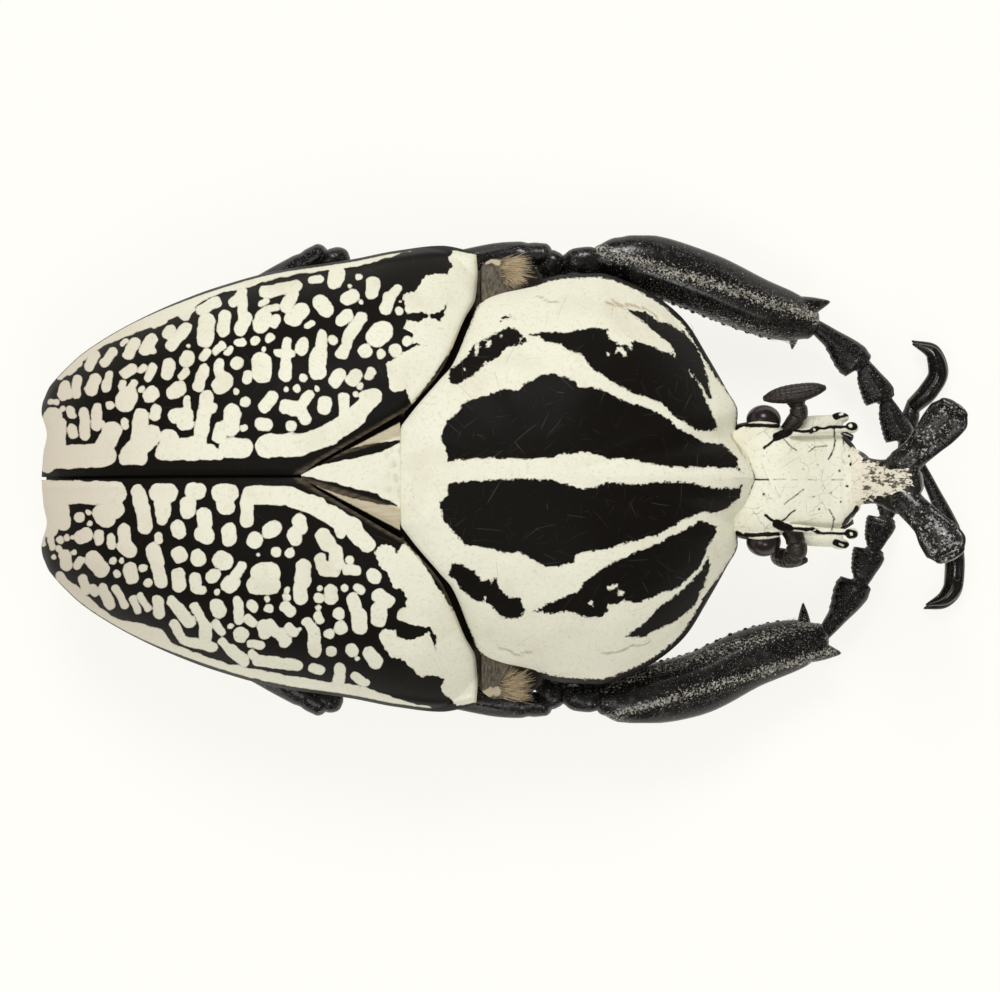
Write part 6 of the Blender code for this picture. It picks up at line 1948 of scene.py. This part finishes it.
class Coat:
    """Hairs gathered in one mesh: bent, tapering locks of three sides, rooted in the skin."""

    MAP = "OFBake"
    TUFT_ON_MAP = 0.003
    LEVELS = (0.25, 0.5, 0.75)
    SPREAD = 0.22
    DROOP = (0.35, 0.7)
    ROOT_DEPTH = 0.05
    TONES = (-0.35, 0.3)
    AXIS_HEIGHT = 12.0
    HALF_SPAN, SPAN = 50.0, 100.0

    def __init__(self, name: str, seed: int) -> None:
        """Start with nothing but the shape of one hair."""
        self.name = name
        self.random = np.random.default_rng(seed)
        form = bmesh.new()
        bmesh.ops.create_cone(form, cap_ends=True, segments=3, radius1=1.0, radius2=0.12, depth=1.0)
        for level in self.LEVELS:
            geometry = form.verts[:] + form.edges[:] + form.faces[:]
            bmesh.ops.bisect_plane(form, geom=geometry, plane_co=(0.0, 0.0, level - 0.5), plane_no=UP)
        bmesh.ops.triangulate(form, faces=form.faces)
        form.verts.index_update()
        self.lock = np.array([vertex.co for vertex in form.verts]) + (0.0, 0.0, 0.5)
        self.faces = np.array([[vertex.index for vertex in face.verts] for face in form.faces])
        form.free()
        self.spots, self.unwraps = [], []

    def grow(self, roots: Array, outs: Array, ways: Array, maps: Array, length: tuple[float, float],
             lift: float, radius: float = 0.032) -> None:
        """Add hairs.

        Args:
            roots: their roots.
            outs: directions out of the skin there.
            ways: directions in which they lie.
            maps: places of their roots on the coat's own map.
            length: least and greatest length.
            lift: how far they stand off the skin, from 0 for flat to 1 for upright.
            radius: radius at the root.
        """
        number = len(roots)
        along = ways + self.random.normal(0.0, self.SPREAD, (number, 3))
        along -= outs * np.sum(along * outs, axis=1)[:, None]
        along /= np.linalg.norm(along, axis=1)[:, None]
        aim = along * (1.0 - lift) + outs * (lift * self.random.uniform(0.5, 1.5, (number, 1)))
        aim /= np.linalg.norm(aim, axis=1)[:, None]
        side = np.cross(aim, outs + along * 0.5)
        side /= np.linalg.norm(side, axis=1)[:, None]
        above = np.cross(aim, side)
        size = self.random.uniform(*length, (number, 1, 1))
        x, y, share = (column[None, :, None] for column in self.lock.T)
        ahead, down = self.DROOP
        bend = (along * ahead - outs * lift * down)[:, None] * share**2
        middle = (roots - outs * self.ROOT_DEPTH)[:, None] + size * (aim[:, None] * share + bend)
        self.spots.append(middle + radius * (side[:, None] * x + above[:, None] * y))
        turn = np.arctan2(y, x) / (2.0 * math.pi)
        patch = np.concatenate((turn, share - 0.5), axis=-1) * self.TUFT_ON_MAP
        self.unwraps.append(maps[:, None] + patch)

    def sow(self, item: bpy.types.Object, patch: Patch) -> None:
        """Grow a patch of hair on a piece, where rays from random starts meet its skin."""
        low, high = np.array(patch.low), np.array(patch.high)
        starts = low + (high - low) * self.random.random((patch.count, 3))
        hits = [item.ray_cast(Vector(start) * METRES, Vector(patch.ray)) for start in starts]
        roots = np.array([spot for met, spot, _, _ in hits if met]) / METRES
        outs = np.array([out for met, _, out, _ in hits if met])
        turn = np.arctan2(roots[:, 2] - self.AXIS_HEIGHT, roots[:, 1]) / (2.0 * math.pi) + 0.5
        corner_u, corner_v, size = patch.tile
        along = (roots[:, 0] + self.HALF_SPAN) / self.SPAN
        maps = np.stack((corner_u + size * along, corner_v + size * turn), axis=-1)
        self.grow(roots, outs, np.tile(patch.way, (len(roots), 1)), maps, patch.length, patch.lift)

    def fringe(self, leg: "Leg", count: int, length: tuple[float, float], tile: Station) -> None:
        """Grow a fringe along the inner and lower sides of a shin."""
        form = Bar(mirrored(leg.pose["shin"], leg.mirror))
        share = self.random.uniform(0.25, 0.96, count)
        inner = 0.0 if leg.inner > 0.0 else math.pi
        angle = inner - self.random.uniform(-0.15, 1.1, count) * math.cos(inner)
        roots = form.skin(share, angle)
        middle, ahead, _, _ = form.frames(share)
        outs = roots - middle
        outs /= np.linalg.norm(outs, axis=1)[:, None]
        corner_u, corner_v, size = tile
        maps = np.stack((corner_u + size * share, corner_v + size * (angle / (2.0 * math.pi) + 0.5)), axis=-1)
        self.grow(roots, outs, ahead, maps, length, 0.45, 0.028)

    def build(self, material: bpy.types.Material) -> None:
        """Join the hairs and dress them."""
        spots, unwraps = np.concatenate(self.spots), np.concatenate(self.unwraps)
        number, each = spots.shape[:2]
        faces = (self.faces[None] + (np.arange(number) * each)[:, None, None]).reshape(-1, 3)
        mesh = bpy.data.meshes.new(self.name)
        mesh.from_pydata(spots.reshape(-1, 3), [], faces)
        corners = unwraps.reshape(-1, 2)[faces.ravel()]
        mesh.uv_layers.new(name=self.MAP).data.foreach_set("uv", corners.ravel())
        own = np.repeat(self.random.uniform(*self.TONES, number), each)
        shares = (np.tile(self.lock[:, 2], number) * 0.8 + own).astype(np.float32)
        mesh.attributes.new("share", "FLOAT", "POINT").data.foreach_set("value", shares)
        item = bpy.data.objects.new(self.name, mesh)
        bpy.context.scene.collection.objects.link(item)
        finish_piece(item, Slot.SETAE, material)


@dataclass
class Lamp:
    """A soft light from far away.

    The heading turns from +X towards +Y, the height is its angle over the floor.
    """

    heading: float
    height: float
    strength: float
    spread: float

    def build(self, name: str) -> None:
        """Add the light."""
        light = bpy.data.lights.new(name, "SUN")
        light.energy = self.strength
        light.angle = math.radians(self.spread)
        lamp = bpy.data.objects.new(name, light)
        heading, height = math.radians(self.heading), math.radians(self.height)
        flat = math.cos(height)
        towards = Vector((math.cos(heading) * flat, math.sin(heading) * flat, math.sin(height)))
        lamp.rotation_euler = towards.to_track_quat("Z", "Y").to_euler()
        bpy.context.scene.collection.objects.link(lamp)


@dataclass
class Studio:
    """The plain white floor, the soft lights and the camera over the beetle."""

    floor_half: float = 1.5
    floor_colour: Station = (0.14, 0.14, 0.137)
    floor_shade: float = 0.985
    floor_grain: float = 0.02
    floor_tint: Station = (1.0, 0.985, 0.93)
    floor_glow: float = 0.865
    floor_roughness: float = 0.9
    floor_specular: float = 0.1
    sky: Station = (1.0, 0.995, 0.985)
    sky_strength: float = 0.45
    sky_in_gloss: float = 0.1
    sky_in_view: float = 0.95
    lamps: tuple[Lamp, ...] = field(default_factory=lambda: (
        Lamp(95.0, 52.0, 1.4, 24.0), Lamp(-75.0, 60.0, 0.45, 20.0), Lamp(205.0, 60.0, 0.4, 30.0)))

    def build_floor(self) -> None:
        """Lay the floor."""
        sculpt = Sculpt()
        bmesh.ops.create_grid(sculpt.bm, x_segments=1, y_segments=1, size=self.floor_half)
        item = sculpt.item("floor")
        graph, place = started("floor")
        tone = graph.step(graph.noise(place, self.floor_grain, 3.0), 0.3, 0.7)
        shade = tuple(value * self.floor_shade for value in self.floor_colour)
        item.data.materials.append(ended("floor", graph, {
            "Base Color": graph.mix(tone, self.floor_colour, shade), "Emission Color": rgba(self.floor_tint),
            "Emission Strength": self.floor_glow, "Roughness": self.floor_roughness,
            "Specular IOR Level": self.floor_specular}))

    def build_light(self) -> None:
        """Add the sky and the lamps."""
        world = bpy.data.worlds.new("sky")
        world.use_nodes = True
        shade = world.node_tree.nodes["Background"]
        shade.inputs["Color"].default_value = rgba(self.sky)
        graph = Graph(world.node_tree)
        path = graph.node("ShaderNodeLightPath").outputs
        strength = self.sky_strength
        for ray, wanted in (("Is Glossy Ray", self.sky_in_gloss), ("Is Camera Ray", self.sky_in_view)):
            strength = graph.plus(graph.times(path[ray], wanted - self.sky_strength), strength)
        graph.feed(shade, "Strength", strength)
        bpy.context.scene.world = world
        for number, lamp in enumerate(self.lamps):
            lamp.build(f"lamp_{number}")
        bpy.context.scene.view_settings.view_transform = "Standard"

    def build_camera(self) -> None:
        """Hang the camera over the beetle's back."""
        target = Vector(CAMERA_TARGET) * METRES
        away = Vector((0.0, -math.cos(CAMERA_ELEVATION), math.sin(CAMERA_ELEVATION))) * CAMERA_RANGE * METRES
        lens = bpy.data.cameras.new("camera")
        lens.lens = CAMERA_LENS
        lens.clip_start = 0.01
        camera = bpy.data.objects.new("camera", lens)
        camera.location = target + away
        camera.rotation_euler = away.to_track_quat("Z", "Y").to_euler()
        bpy.context.scene.collection.objects.link(camera)
        bpy.context.scene.camera = camera

    def build(self) -> None:
        """Build the whole studio."""
        self.build_floor()
        self.build_light()
        self.build_camera()


def build_hair(pieces: dict[str, bpy.types.Object], legs: Sequence[Leg],
               material: bpy.types.Material) -> None:
    """Build the coats of the body and of the legs.

    Args:
        pieces: the haired pieces of the body by name.
        legs: the six legs.
        material: the hair's material.
    """
    bpy.context.view_layer.update()
    body = Coat("body_hair", BODY_SEED)
    for side in Side:
        for name, *row in SIDE_HAIR:
            body.sow(pieces[name], Patch(*mirrored(row[:4], side.value), *row[4:], HAIR_TILES[name]))
    for name, *row in BELLY_HAIR:
        body.sow(pieces[name], Patch(*row, HAIR_TILES[name]))
    body.build(material)
    fringes = Coat("leg_hair", LEG_SEED)
    for number, leg in enumerate(legs):
        row, column = divmod(number, 3)
        fringes.fringe(leg, *FRINGES[leg.pair], (column * 0.33, row * 0.5, 0.3))
    fringes.build(material)


def main() -> None:
    """Build the beetle and the studio in order."""
    logging.basicConfig(level=logging.INFO, format="%(name)s %(message)s", stream=sys.stdout)
    wings = ShellFinish("wing_case", lined=0.12, scratched=0.12, ragged=0.05, grain=3.0).material()
    shield = ShellFinish("shield", ragged=0.24, grain=2.6, scratched=0.42, lined=0.4).material()
    crown = ShellFinish("head", cracked=0.6, lined=0.5, specked=0.8).material()
    flank = ShellFinish("flank", black=(0.012, 0.009, 0.006), brown=(0.17, 0.145, 0.105), scratched=0.1,
                        fibres=(3.2, 0.5, 1.0)).material()
    stem = StemFinish("stem").material()
    chitin = ChitinFinish("chitin").material()
    coarse = ChitinFinish("coarse_chitin", pit_size=3.0, pit_depth=0.1, sparse_highlights=0.1, speck_size=3.1).material()
    smooth = ChitinFinish("smooth_chitin", pit_depth=0.012, roughness=0.16, sparse_highlights=0.0).material()
    eye = EyeFinish("eye").material()
    club = ClubFinish("club").material()
    hair = HairFinish("hair").material()
    studio = Studio()
    studio.build()
    legs = []
    for side in Side:
        WingCase(side, wings).build()
        Feeler(side, club).build()
        for pair in COXAE:
            leg = Leg(pair, side, chitin, smooth)
            leg.build()
            legs.append(leg)
    Scutellum(wings).build()
    haired = {
        "prothorax": Shield(shield).build(),
        "thorax": Trunk("thorax", THORAX_SPAN, Slot.CHITIN, flank, pale=FLANK_SPOTS).build(),
        "abdomen": Trunk("abdomen", ABDOMEN_SPAN, Slot.CHITIN, flank, 150, grooves=STERNITE_EDGES).build(),
    }
    Trunk("pygidium", PYGIDIUM_SPAN, Slot.SHELL, wings, 50, round_rear=True).build()
    Head(crown, eye, chitin).build()
    Horn(stem, coarse).build()
    build_hair(haired, legs, hair)


if __name__ == "__main__":
    main()
